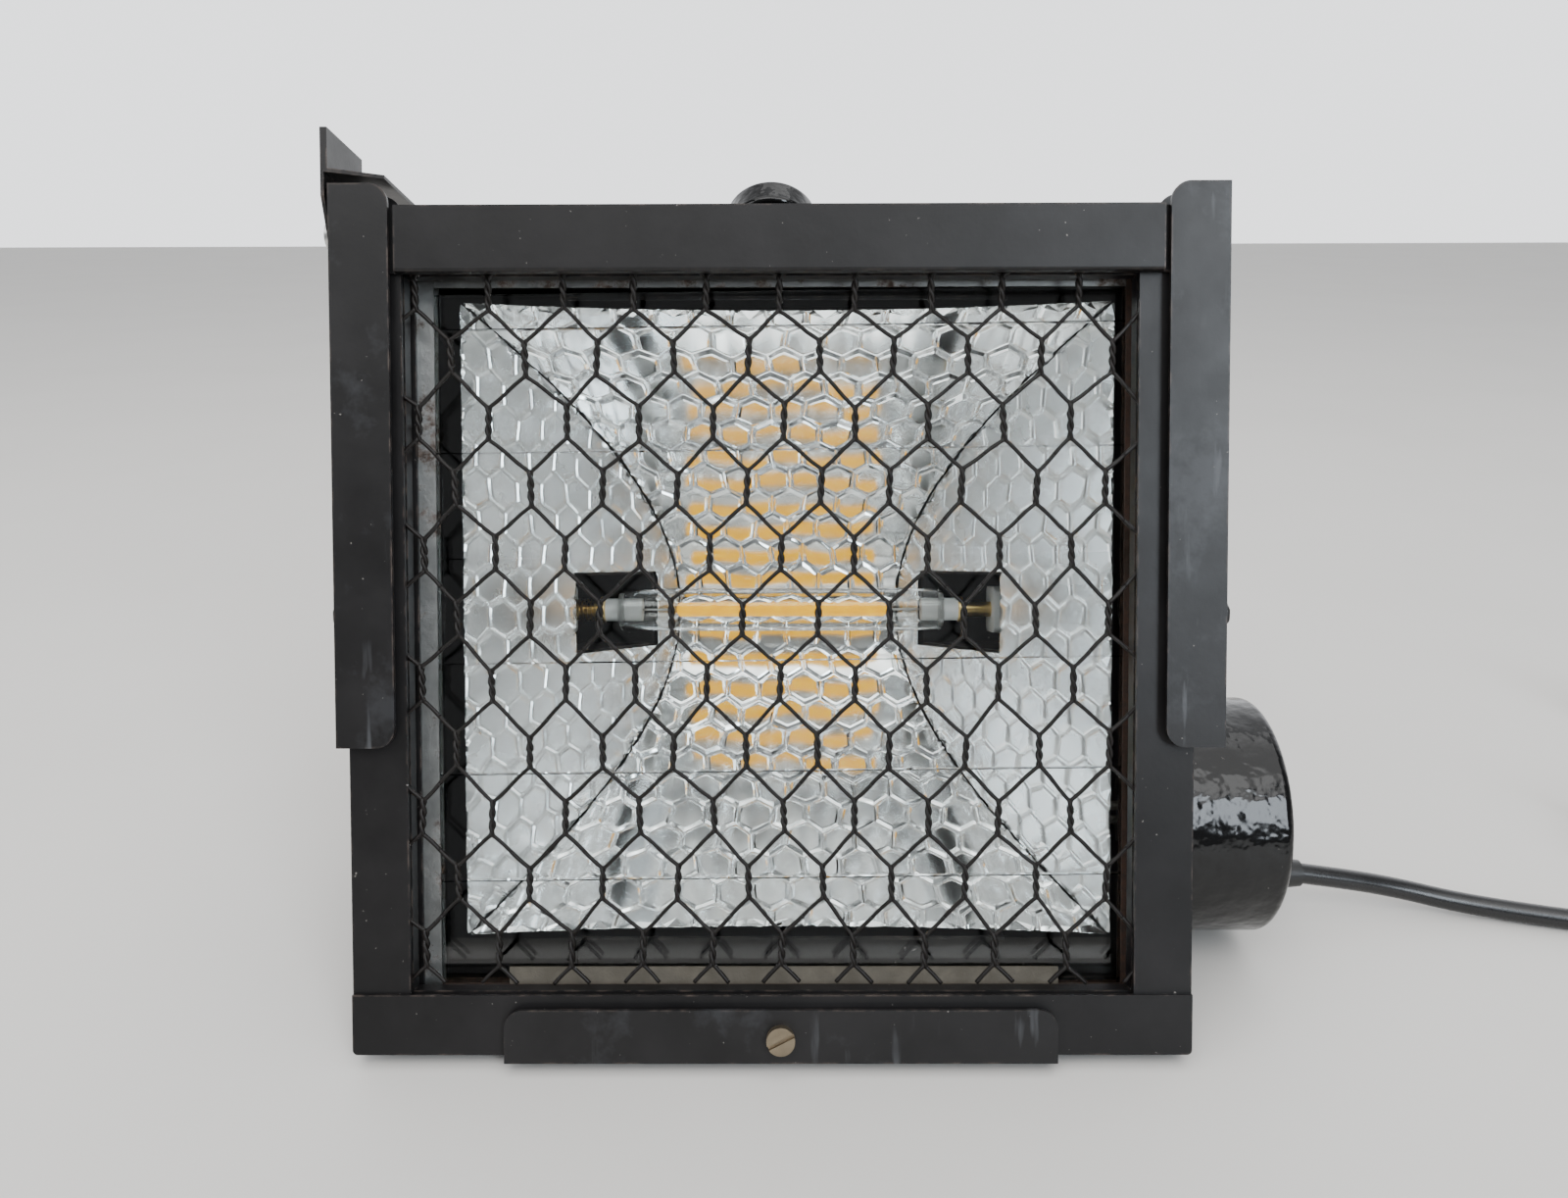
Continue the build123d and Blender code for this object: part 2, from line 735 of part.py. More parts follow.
# Brass contacts: the left one is sprung, the right one is fixed
stem_back = block_in + 5.0
with BuildPart() as contact_left:
    with BuildSketch(sideways(-cap_reach, lamp_depth, lamp_height)):
        Circle(4.4)
    extrude(amount=-1.6)
    with BuildSketch(sideways(-cap_reach, lamp_depth, lamp_height)):
        Circle(2.5)
    extrude(amount=cap_reach - stem_back)
    fillet(contact_left.edges().group_by(Axis.X)[-1], radius=0.6)
contact_left.part.label = "contact_left"
export_step(contact_left.part, "parts/contact_left.step")

with BuildPart() as contact_right:
    with BuildSketch(sideways(cap_reach, lamp_depth, lamp_height)):
        Circle(4.4)
    extrude(amount=1.6)
    with BuildSketch(sideways(cap_reach, lamp_depth, lamp_height)):
        Circle(2.5)
    extrude(amount=stem_back - cap_reach)
    fillet(contact_right.edges().group_by(Axis.X)[0], radius=0.6)
contact_right.part.label = "contact_right"
export_step(contact_right.part, "parts/contact_right.step")

# Coil spring between the left contact's head and the block, around the stem
spring_start = -(cap_reach + 1.6)
spring_long = block_in - cap_reach - 1.6
spring_wire = 0.35
with BuildPart() as contact_spring:
    for turn in range(7):
        place = spring_start - spring_wire - 0.1 - turn * (spring_long - 1.0) / 6
        with BuildSketch(sideways(place - spring_wire, lamp_depth, lamp_height)):
            Circle(3.6)
            Circle(2.9, mode=Mode.SUBTRACT)
        extrude(amount=2 * spring_wire)
contact_spring.part.label = "contact_spring"
export_step(contact_spring.part, "parts/contact_spring.step")

cap_radius = 3.75
cap_inner = 46.0
with BuildPart() as lamp_caps:
    for side in (-1, 1):
        with BuildSketch(sideways(side * cap_inner, lamp_depth, lamp_height)):
            Circle(cap_radius)
        extrude(amount=side * (cap_reach - cap_inner))
lamp_caps.part.label = "lamp_caps"
export_step(lamp_caps.part, "parts/lamp_caps.step")

glass_wall = 0.9
with BuildPart() as lamp_tube:
    with BuildSketch(sideways(tube_left, lamp_depth, lamp_height)):
        Circle(tube_radius)
    extrude(amount=tube_right - tube_left)
    fillet(lamp_tube.edges(), radius=1.6)
    with BuildSketch(sideways(tube_left + 2, lamp_depth, lamp_height)):
        Circle(tube_radius - glass_wall)
    extrude(amount=tube_right - tube_left - 4, mode=Mode.SUBTRACT)
    with BuildSketch(sideways(tube_left - 1, lamp_depth, lamp_height)):
        Circle(cap_radius)
    extrude(amount=tube_right - tube_left + 2, mode=Mode.SUBTRACT)
lamp_tube.part.label = "lamp_tube"
export_step(lamp_tube.part, "parts/lamp_tube.step")

filament_half = 34.6
with BuildPart() as lamp_filament:
    with BuildSketch(sideways(-filament_half, lamp_depth, lamp_height)):
        RectangleRounded(1.6, 4.6, 0.7)
    extrude(amount=2 * filament_half)
    for side in (-1, 1):
        with BuildSketch(sideways(side * filament_half, lamp_depth, lamp_height)):
            Circle(0.5)
        extrude(amount=side * (cap_inner - filament_half))
lamp_filament.part.label = "lamp_filament"
export_step(lamp_filament.part, "parts/lamp_filament.step")

# --- Terminal box: round cast box with a flat lid, nipple and connector block ---

box_wall = 3.0
gland_y = -42.9
gland_z = 13.0
lid_back = box_end - lid_thick
screw_pitch = 50.8
screw_turn = 28.5


def gland_plane(x):
    """Plane across the gland's axis, at a distance from the lamp's middle."""
    return Plane((face_x + x, gland_y, gland_z), x_dir=(0, 1, 0), z_dir=(1, 0, 0))


with BuildPart() as terminal_box:
    with BuildSketch(sideways(body_half, box_depth, box_height)):
        Circle(box_radius)
    extrude(amount=lid_back - body_half)
    with BuildSketch(sideways(body_half + box_wall, box_depth, box_height)):
        Circle(box_radius - box_wall)
    extrude(amount=lid_back - body_half, mode=Mode.SUBTRACT)
    with BuildSketch(sideways(body_half - 1, box_depth, box_height)):
        Circle(nipple_radius)
    extrude(amount=box_wall + 2, mode=Mode.SUBTRACT)
terminal_box.part.label = "terminal_box"
export_step(terminal_box.part, "parts/terminal_box.step")

with BuildPart() as terminal_lid:
    with BuildSketch(sideways(lid_back, box_depth, box_height)):
        Circle(box_radius)
    extrude(amount=lid_thick)
    fillet(terminal_lid.edges().group_by(Axis.X)[-1], radius=2.6)
    with BuildSketch(sideways(lid_back, box_depth, box_height)):
        with PolarLocations(screw_pitch / 2, 2, start_angle=screw_turn):
            Circle(2.0)
    extrude(amount=lid_thick, mode=Mode.SUBTRACT)
    with BuildSketch(gland_plane(lid_back)):
        Circle(4.8)
    extrude(amount=lid_thick, mode=Mode.SUBTRACT)
terminal_lid.part.label = "terminal_lid"
export_step(terminal_lid.part, "parts/terminal_lid.step")

with BuildPart() as lid_screws:
    with BuildSketch(sideways(box_end, box_depth, box_height)):
        with PolarLocations(screw_pitch / 2, 2, start_angle=screw_turn):
            Circle(3.6)
    extrude(amount=side_reach - box_end)
    with BuildSketch(sideways(box_end, box_depth, box_height)):
        with PolarLocations(screw_pitch / 2, 2, start_angle=screw_turn):
            Circle(2.0)
    extrude(amount=-9)
    with BuildSketch(sideways(side_reach - 0.9, box_depth, box_height)):
        with PolarLocations(screw_pitch / 2, 2, start_angle=screw_turn):
            Rectangle(8, 1.0, rotation=35)
    extrude(amount=1, mode=Mode.SUBTRACT)
lid_screws.part.label = "lid_screws"
export_step(lid_screws.part, "parts/lid_screws.step")

block_face = body_half + 6.5
with BuildPart() as terminal_block:
    with BuildSketch(sideways(block_face, box_depth, box_height)):
        RectangleRounded(17, 22, 1.5)
    extrude(amount=12)
    with BuildSketch(sideways(block_face + 12, box_depth, box_height)):
        with GridLocations(8, 9, 2, 2):
            Circle(2.2)
    extrude(amount=-4, mode=Mode.SUBTRACT)
terminal_block.part.label = "terminal_block"
export_step(terminal_block.part, "parts/terminal_block.step")

nut_thick = 2.8
with BuildPart() as box_nipple:
    for start in (wrap_half - nut_thick, body_half + box_wall):
        with BuildSketch(sideways(start, box_depth, box_height)):
            RegularPolygon(11.5, 6)
        extrude(amount=nut_thick)
    with BuildSketch(sideways(wrap_half - nut_thick, box_depth, box_height)):
        Circle(nipple_radius)
    extrude(amount=body_half + box_wall + 2 * nut_thick - wrap_half)
    with BuildSketch(sideways(wrap_half - nut_thick - 1, box_depth, box_height)):
        Circle(nipple_radius - 2)
    extrude(amount=20, mode=Mode.SUBTRACT)
box_nipple.part.label = "box_nipple"
export_step(box_nipple.part, "parts/box_nipple.step")

# Inner leads, run through the nipple and behind the reflector
lead_radius = 1.3


def lead(points, radius):
    """Round lead along straight runs joined by arcs."""
    places = [lamp_point(*point) for point in points]
    with BuildPart() as wire_lead:
        with BuildLine() as path:
            FilletPolyline(*places, radius=radius)
        with BuildSketch(Plane(places[0], z_dir=places[1] - places[0])):
            Circle(lead_radius)
        sweep(path=path.line)
    return wire_lead


lead_end = holder_out
lead_live = lead(
    [
        (block_face, box_depth, box_height + 2.2),
        (97, box_depth, box_height + 2.2),
        (94, 66, -42),
        (93, lamp_depth, -10),
        (93, lamp_depth, lamp_height),
        (lead_end, lamp_depth, lamp_height),
    ],
    5.0,
)
lead_live.part.label = "lead_live"
export_step(lead_live.part, "parts/lead_live.step")

lead_neutral = lead(
    [
        (block_face, box_depth, box_height - 2.2),
        (97, box_depth, box_height - 2.2),
        (78, 90, -66),
        (-72, 92, -64),
        (-94, 86, -38),
        (-93, lamp_depth, -10),
        (-93, lamp_depth, lamp_height),
        (-lead_end, lamp_depth, lamp_height),
    ],
    5.0,
)
lead_neutral.part.label = "lead_neutral"
export_step(lead_neutral.part, "parts/lead_neutral.step")

# --- Rivets: dome heads along the side panels ---

rivet_rows = [(17.0, -88.0), (17.0, -30.0), (17.0, 30.0), (17.0, 88.0)]
rivet_rows += [(108.0, -66.0), (108.0, 60.0), (66.0, 80.0)]
with BuildPart() as rivets:
    for side in (-1, 1):
        with BuildSketch(sideways(side * body_half)):
            with Locations(*rivet_rows):
                Circle(2.4)
        extrude(amount=side * 1.0, taper=25)
rivets.part.label = "rivets"
export_step(rivets.part, "parts/rivets.step")

# --- Yoke with its pivots, knobs, suspension bolt and hand nut ---

arm_outer = arm_inner + yoke_bar
arm_tail = 13.0
bar_inner = yoke_reach - yoke_bar / 2
bar_outer = yoke_reach + yoke_bar / 2
yoke_plane = Plane(
    pivot_centre - ACROSS * (yoke_width / 2),
    x_dir=RIGHT,
    z_dir=ACROSS,
)
with BuildPart() as yoke_stirrup:
    with BuildSketch(yoke_plane):
        with Locations((0, (bar_outer - arm_tail) / 2)):
            Rectangle(2 * arm_outer, bar_outer + arm_tail)
            fillet(vertices().group_by(Axis.Y)[-1], radius=10.0)
    extrude(amount=yoke_width)
    with BuildSketch(yoke_plane):
        with Locations((0, (bar_inner - arm_tail - 1) / 2)):
            Rectangle(2 * arm_inner, bar_inner + arm_tail + 1)
            fillet(vertices().group_by(Axis.Y)[-1], radius=10.0 - yoke_bar)
    extrude(amount=yoke_width, mode=Mode.SUBTRACT)
    tail_edges = yoke_stirrup.edges().filter_by(Axis.X).sort_by(Axis(pivot_centre, ARM))[:4]
    fillet(tail_edges, radius=yoke_width / 2 - 0.5)
    with BuildSketch(yoke_side(-arm_outer - 1)):
        Circle(pivot_radius + running_gap)
    extrude(amount=2 * arm_outer + 2, mode=Mode.SUBTRACT)
    with BuildSketch(yoke_face(bar_inner - 1)):
        Circle(bolt_radius)
    extrude(amount=yoke_bar + 2, mode=Mode.SUBTRACT)
yoke_stirrup.part.label = "yoke_stirrup"
export_step(yoke_stirrup.part, "parts/yoke_stirrup.step")

stud_end = knob_end - 4.5
with BuildPart() as pivot_studs:
    for side in (-1, 1):
        with BuildSketch(yoke_side(side * (wrap_half - 2))):
            Circle(10)
        extrude(amount=side * 2)
        with BuildSketch(yoke_side(side * (wrap_half - 2))):
            Circle(pivot_radius)
        extrude(amount=side * (stud_end - wrap_half + 2))
pivot_studs.part.label = "pivot_studs"
export_step(pivot_studs.part, "parts/pivot_studs.step")

with BuildPart() as pivot_washers:
    for side in (-1, 1):
        with BuildSketch(yoke_side(side * body_half)):
            Circle(11)
            Circle(pivot_radius, mode=Mode.SUBTRACT)
        extrude(amount=side * (arm_inner - body_half - 0.1))
pivot_washers.part.label = "pivot_washers"
export_step(pivot_washers.part, "parts/pivot_washers.step")


def tilt_knob(side):
    """Lobed hand knob with a blind bore for the stud."""
    near = arm_outer + 0.1
    grip = near + 5.5
    with BuildPart() as knob:
        with BuildSketch(yoke_side(side * grip)):
            Circle(17)
            with PolarLocations(21.5, 7):
                Circle(7.5, mode=Mode.SUBTRACT)
            fillet(vertices(), radius=2.0)
        extrude(amount=side * (knob_end - grip))
        rims = knob.faces().filter_by(Axis.X).edges()
        fillet(rims, radius=1.2)
        with BuildSketch(yoke_side(side * near)):
            Circle(9)
        extrude(amount=side * 6.0)
        with BuildSketch(yoke_side(side * near)):
            Circle(pivot_radius + running_gap)
        extrude(amount=side * (stud_end + 0.3 - near), mode=Mode.SUBTRACT)
    return knob


tilt_knob_left = tilt_knob(-1)
tilt_knob_left.part.label = "tilt_knob_left"
export_step(tilt_knob_left.part, "parts/tilt_knob_left.step")

tilt_knob_right = tilt_knob(1)
tilt_knob_right.part.label = "tilt_knob_right"
export_step(tilt_knob_right.part, "parts/tilt_knob_right.step")

with BuildPart() as suspension_bolt:
    with BuildSketch(yoke_face(bar_inner - 6.4)):
        RegularPolygon(9.4, 6)
    extrude(amount=6.4)
    with BuildSketch(yoke_face(bar_inner - 1)):
        Circle(bolt_radius)
    extrude(amount=bolt_far - bar_inner + 1)
    chamfer(suspension_bolt.edges().sort_by(Axis(pivot_centre, ARM))[-1], length=0.8)
suspension_bolt.part.label = "suspension_bolt"
export_step(suspension_bolt.part, "parts/suspension_bolt.step")

with BuildPart() as bolt_locknut:
    with BuildSketch(yoke_face(bar_outer)):
        RegularPolygon(9.4, 6)
        Circle(bolt_radius, mode=Mode.SUBTRACT)
    extrude(amount=6.0)
bolt_locknut.part.label = "bolt_locknut"
export_step(bolt_locknut.part, "parts/bolt_locknut.step")

# Cast hand nut: thick rim, two stepped recesses facing the crossbar
with BuildPart() as hand_nut:
    with BuildSketch(yoke_face(nut_near)):
        Circle(nut_radius)
    extrude(amount=nut_far - nut_near - 3.0)
    fillet(hand_nut.edges(), radius=nut_round)
    with BuildSketch(yoke_face(nut_far - 6.0)):
        Circle(10.5)
    extrude(amount=6.0)
    with BuildSketch(yoke_face(nut_near)):
        Circle(12.4)
    extrude(amount=2.2, mode=Mode.SUBTRACT)
    with BuildSketch(yoke_face(nut_near)):
        Circle(9.8)
    extrude(amount=4.6, mode=Mode.SUBTRACT)
    with BuildSketch(yoke_face(nut_near - 1)):
        Circle(bolt_radius + running_gap)
    extrude(amount=nut_far - nut_near + 2, mode=Mode.SUBTRACT)
hand_nut.part.label = "hand_nut"
export_step(hand_nut.part, "parts/hand_nut.step")

# --- Cord: gland and strain relief, the run over the table, the coil, its tie and the plug ---

gland_end = 149.0
exit_x = 165.0
cord_radius = cord_diameter / 2
with BuildPart() as gland_body:
    with BuildSketch(gland_plane(box_end)):
        RegularPolygon(6.9, 6)
    extrude(amount=gland_end - box_end)
    with BuildSketch(gland_plane(lid_back - 2)):
        Circle(4.8)
    extrude(amount=lid_thick + 2)
gland_body.part.label = "gland_body"
export_step(gland_body.part, "parts/gland_body.step")

with BuildPart() as gland_tail:
    with BuildSketch(gland_plane(gland_end)):
        Circle(5.8)
    with BuildSketch(gland_plane(exit_x)):
        Circle(cord_radius + 0.9)
    loft()
gland_tail.part.label = "gland_tail"
export_step(gland_tail.part, "parts/gland_tail.step")

# Routes in the world frame: from the strain relief to the coil, and from the coil to the plug
run_points = [
    (face_x + exit_x, gland_y, gland_z),
    (173.0, -42.9, 10.8),
    (190.0, -43.1, 7.6),
    (207.0, -46.1, 4.5),
    (228.0, -51.1, 3.4),
    (252.0, -57.1, 3.3),
    (280.0, -65.5, 3.3),
    (306.6, -73.6, 3.3),
]
coil_middle = (318.0, -33.6)
coil_low = 0.3
tail_points = [
    (359.5, -32.2, 14.6),
    (360.0, -17.2, 15.7),
    (363.2, -1.2, 17.6),
    (366.0, 12.8, 18.5),
]


def arc_radii(points):
    """Radius at each inner point: 0.45 of the shorter run over the tangent of half the turn."""
    radii = []
    for before, corner, after in zip(points, points[1:], points[2:]):
        first = Vector(corner) - Vector(before)
        second = Vector(after) - Vector(corner)
        turn = radians(first.get_angle(second))
        radii.append(0.45 * min(first.length, second.length) / tan(turn / 2))
    return radii


def cord_tube(points, name):
    """Solid tube along the route, checked against its section times its length."""
    radii = arc_radii(points)
    print(name, "radii", [round(radius) for radius in radii])
    start = Vector(points[0])
    with BuildPart() as tube:
        with BuildLine() as path:
            FilletPolyline(*points, radius=radii)
        with BuildSketch(Plane(start, z_dir=Vector(points[1]) - start)):
            Circle(cord_radius)
        sweep(path=path.line)
    length = sum(edge.length for edge in path.edges())
    ideal = pi * cord_radius**2 * length
    print(name, "length", round(length, 1), "volume ratio", round(tube.part.volume / ideal, 4))
    return tube


run_tube = cord_tube(run_points, "run")
tail_tube = cord_tube(tail_points, "tail")
with BuildPart() as cord_run:
    add(run_tube.part)
    add(tail_tube.part)
cord_run.part.label = "cord_run"
export_step(cord_run.part, "parts/cord_run.step")

coil_half = coil_columns * cord_diameter / 2
coil_tall = 17.8
coil_plane = Plane((coil_middle[0], coil_middle[1], coil_low))
with BuildPart() as cord_coil:
    with BuildSketch(coil_plane):
        Circle(coil_radius + coil_half)
        Circle(coil_radius - coil_half, mode=Mode.SUBTRACT)
    extrude(amount=coil_tall)
    fillet(cord_coil.edges(), radius=3.0)
cord_coil.part.label = "cord_coil"
export_step(cord_coil.part, "parts/cord_coil.step")

tie_turn = 130.0
tie_spot = Vector(cos(radians(tie_turn)), sin(radians(tie_turn)), 0)
tie_plane = Plane(
    Vector(coil_middle[0], coil_middle[1], 0) + tie_spot * coil_radius,
    x_dir=tie_spot,
    z_dir=Vector(0, 0, 1).cross(tie_spot) * -1,
)
tie_width = 5.0
with BuildPart() as cord_tie:
    with BuildSketch(tie_plane.offset(-tie_width / 2)):
        with Locations((0, (coil_low + coil_tall + 0.7) / 2)):
            Rectangle(2 * coil_half + 1.8, coil_low + coil_tall + 0.7)
        with Locations((0, coil_low + coil_tall / 2)):
            Rectangle(2 * coil_half + 0.4, coil_tall, mode=Mode.SUBTRACT)
    extrude(amount=tie_width)
cord_tie.part.label = "cord_tie"
export_step(cord_tie.part, "parts/cord_tie.step")

plug_x, plug_y, plug_z = tail_points[-1]
plug_plane = Plane((plug_x, plug_y, plug_z), x_dir=(1, 0, 0), z_dir=(0, 0, 1))
with BuildPart() as plug_body:
    with BuildSketch(plug_plane):
        with BuildLine():
            Polyline(
                (0, 0),
                (cord_radius + 0.9, 0),
                (6.4, 22),
                (11.5, 26),
                (14.0, 44),
                (18.4, 50),
                (18.4, 60),
                (0, 60),
                close=True,
            )
        make_face()
    revolve(axis=Axis((plug_x, plug_y, plug_z), (0, 1, 0)))
plug_body.part.label = "plug_body"
export_step(plug_body.part, "parts/plug_body.step")

pin_pitch = 19.0
with BuildPart() as plug_pins:
    for side in (-1, 1):
        pin_plane = Plane(
            (plug_x + side * pin_pitch / 2, plug_y + 60, plug_z),
            x_dir=(1, 0, 0),
            z_dir=(0, 1, 0),
        )
        with BuildSketch(pin_plane):
            Circle(2.4)
        extrude(amount=19)
    fillet(plug_pins.edges().group_by(Axis.Y)[-1], radius=1.2)
plug_pins.part.label = "plug_pins"
export_step(plug_pins.part, "parts/plug_pins.step")

print("face centre", face_centre)
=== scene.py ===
import bisect
import json
import math
import random

import bmesh
import bpy
from mathutils import Matrix, Vector


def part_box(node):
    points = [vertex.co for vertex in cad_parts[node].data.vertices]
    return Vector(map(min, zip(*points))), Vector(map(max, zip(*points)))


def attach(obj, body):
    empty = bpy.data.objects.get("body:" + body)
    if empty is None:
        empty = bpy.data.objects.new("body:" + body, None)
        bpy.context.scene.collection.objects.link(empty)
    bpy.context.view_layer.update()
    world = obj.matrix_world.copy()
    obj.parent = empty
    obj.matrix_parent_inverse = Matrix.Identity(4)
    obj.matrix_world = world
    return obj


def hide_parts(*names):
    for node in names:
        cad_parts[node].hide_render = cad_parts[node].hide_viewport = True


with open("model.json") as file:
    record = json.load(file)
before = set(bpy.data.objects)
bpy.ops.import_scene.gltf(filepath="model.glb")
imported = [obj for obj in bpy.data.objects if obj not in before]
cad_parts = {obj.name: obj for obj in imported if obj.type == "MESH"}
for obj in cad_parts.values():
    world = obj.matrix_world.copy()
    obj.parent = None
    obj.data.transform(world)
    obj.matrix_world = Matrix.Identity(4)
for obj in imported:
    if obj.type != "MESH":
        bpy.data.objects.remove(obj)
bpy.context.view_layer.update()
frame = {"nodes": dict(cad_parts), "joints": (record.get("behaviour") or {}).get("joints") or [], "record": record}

MM = 0.001

# ---------------------------------------------------------------- placing
# The lamp's own frame leans back: x right, depth into the housing, height up the face (mm).
joints = {j["name"]: j for j in frame["joints"]}
UP = Vector(joints["guard_lift"]["axis"]).normalized()
RIGHT = Vector((1, 0, 0))
IN = UP.cross(RIGHT) * -1
if IN.y < 0:
    IN = -IN
PIVOT = Vector(joints["yoke_tilt"]["pos_m"])
PIVOT_DEPTH, PIVOT_HEIGHT = 50, 5  # the yoke's pivot, from the middle of the guard frame's face
FACE = PIVOT - IN * PIVOT_DEPTH * MM - UP * PIVOT_HEIGHT * MM


def lamp(x, depth, height):
    return FACE + (RIGHT * x + IN * depth + UP * height) * MM


def grow(obj, body, material, replaces=()):
    """Gives a new piece its material, hides the CAD nodes it stands for and hangs it on the body it rides on."""
    obj.data.materials.clear()
    obj.data.materials.append(material)
    if replaces:
        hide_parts(*replaces)
    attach(obj, body)
    return obj


def mesh_object(name, verts, faces, smooth=True):
    data = bpy.data.meshes.new(name)
    data.from_pydata([tuple(v) for v in verts], [], faces)
    data.validate()
    data.update()
    obj = bpy.data.objects.new(name, data)
    bpy.context.scene.collection.objects.link(obj)
    for polygon in data.polygons:
        polygon.use_smooth = smooth
    return obj


# ---------------------------------------------------------------- camera
LENS, SENSOR = 26.1, 36.0
NEAREST = 0.01
CAMERA_AT = (2.3, -296.3, 20.0)
PITCH = math.radians(20.2)
YAW = math.radians(0.25)
ROLL = math.radians(-0.2)

camera_data = bpy.data.cameras.new("camera")
camera_data.lens = LENS
camera_data.sensor_width = SENSOR
camera_data.clip_start = NEAREST
camera = bpy.data.objects.new("camera", camera_data)
bpy.context.scene.collection.objects.link(camera)
forward = Vector((-math.sin(YAW) * math.cos(PITCH), math.cos(YAW) * math.cos(PITCH), -math.sin(PITCH)))
side = forward.cross(Vector((0, 0, 1))).normalized()
over = side.cross(forward)
turn = Matrix((side, over, -forward)).transposed() @ Matrix.Rotation(ROLL, 3, "Z")
camera.matrix_world = Matrix.Translation(lamp(*CAMERA_AT)) @ turn.to_4x4()
bpy.context.scene.camera = camera

# ---------------------------------------------------------------- materials


class Shade:
    """A Principled material with small helpers for procedural detail, in object coordinates (metres)."""

    def __init__(self, name, color, rough, metal=0.0, **sockets):
        self.material = bpy.data.materials.new(name)
        self.material.use_nodes = True
        self.nodes = self.material.node_tree.nodes
        self.links = self.material.node_tree.links
        self.bsdf = self.nodes["Principled BSDF"]
        self.bsdf.inputs["Base Color"].default_value = (*color, 1)
        self.bsdf.inputs["Roughness"].default_value = rough
        self.bsdf.inputs["Metallic"].default_value = metal
        for key, value in sockets.items():
            self.bsdf.inputs[key.replace("_", " ")].default_value = value
        self.color = (*color, 1)
        self.place = self.nodes.new("ShaderNodeTexCoord").outputs["Object"]
        self.last_bump = None

    def link(self, a, b):
        self.links.new(a, b)

    def stretched(self, scale):
        node = self.nodes.new("ShaderNodeMapping")
        node.inputs["Scale"].default_value = scale
        self.link(self.place, node.inputs["Vector"])
        return node.outputs["Vector"]

    def noise(self, scale, detail=4.0, rough=0.55, warp=0.0, vector=None):
        node = self.nodes.new("ShaderNodeTexNoise")
        node.inputs["Scale"].default_value = scale
        node.inputs["Detail"].default_value = detail
        node.inputs["Roughness"].default_value = rough
        node.inputs["Distortion"].default_value = warp
        self.link(vector or self.place, node.inputs["Vector"])
        return node.outputs["Fac"]

    def cells(self, scale, feature="F1", vector=None):
        node = self.nodes.new("ShaderNodeTexVoronoi")
        node.feature = feature
        node.inputs["Scale"].default_value = scale
        self.link(vector or self.place, node.inputs["Vector"])
        return node.outputs["Distance"]

    def ramp(self, value, low, high, start=0.0, end=1.0):
        node = self.nodes.new("ShaderNodeMapRange")
        node.inputs["From Min"].default_value = low
        node.inputs["From Max"].default_value = high
        node.inputs["To Min"].default_value = start
        node.inputs["To Max"].default_value = end
        self.link(value, node.inputs["Value"])
        return node.outputs["Result"]

    def times(self, a, b):
        node = self.nodes.new("ShaderNodeMath")
        node.operation = "MULTIPLY"
        self.link(a, node.inputs[0])
        if isinstance(b, float):
            node.inputs[1].default_value = b
        else:
            self.link(b, node.inputs[1])
        return node.outputs[0]

    def edges(self, radius, low=0.985, high=0.90):
        """1 on sharp edges, 0 on flats, from the rounded normal against the true one."""
        bevel = self.nodes.new("ShaderNodeBevel")
        bevel.samples = 4
        bevel.inputs["Radius"].default_value = radius
        geometry = self.nodes.new("ShaderNodeNewGeometry")
        dot = self.nodes.new("ShaderNodeVectorMath")
        dot.operation = "DOT_PRODUCT"
        self.link(bevel.outputs["Normal"], dot.inputs[0])
        self.link(geometry.outputs["True Normal"], dot.inputs[1])
        return self.ramp(dot.outputs["Value"], low, high)

    def tint(self, mask, color):
        """Lays a colour over the base where the mask is 1."""
        node = self.nodes.new("ShaderNodeMix")
        node.data_type = "RGBA"
        self.link(mask, node.inputs["Factor"])
        socket = self.bsdf.inputs["Base Color"]
        if socket.is_linked:
            self.link(socket.links[0].from_socket, node.inputs[6])
        else:
            node.inputs[6].default_value = self.color
        node.inputs[7].default_value = (*color, 1)
        self.link(node.outputs[2], socket)
        return self

    def vary(self, socket, mask, start, end):
        self.link(self.ramp(mask, 0.0, 1.0, start, end), self.bsdf.inputs[socket])
        return self

    def bump(self, height, distance, strength=1.0):
        node = self.nodes.new("ShaderNodeBump")
        node.inputs["Distance"].default_value = distance
        node.inputs["Strength"].default_value = strength
        self.link(height, node.inputs["Height"])
        if self.last_bump:
            self.link(self.last_bump.outputs["Normal"], node.inputs["Normal"])
        self.link(node.outputs["Normal"], self.bsdf.inputs["Normal"])
        self.last_bump = node
        return self


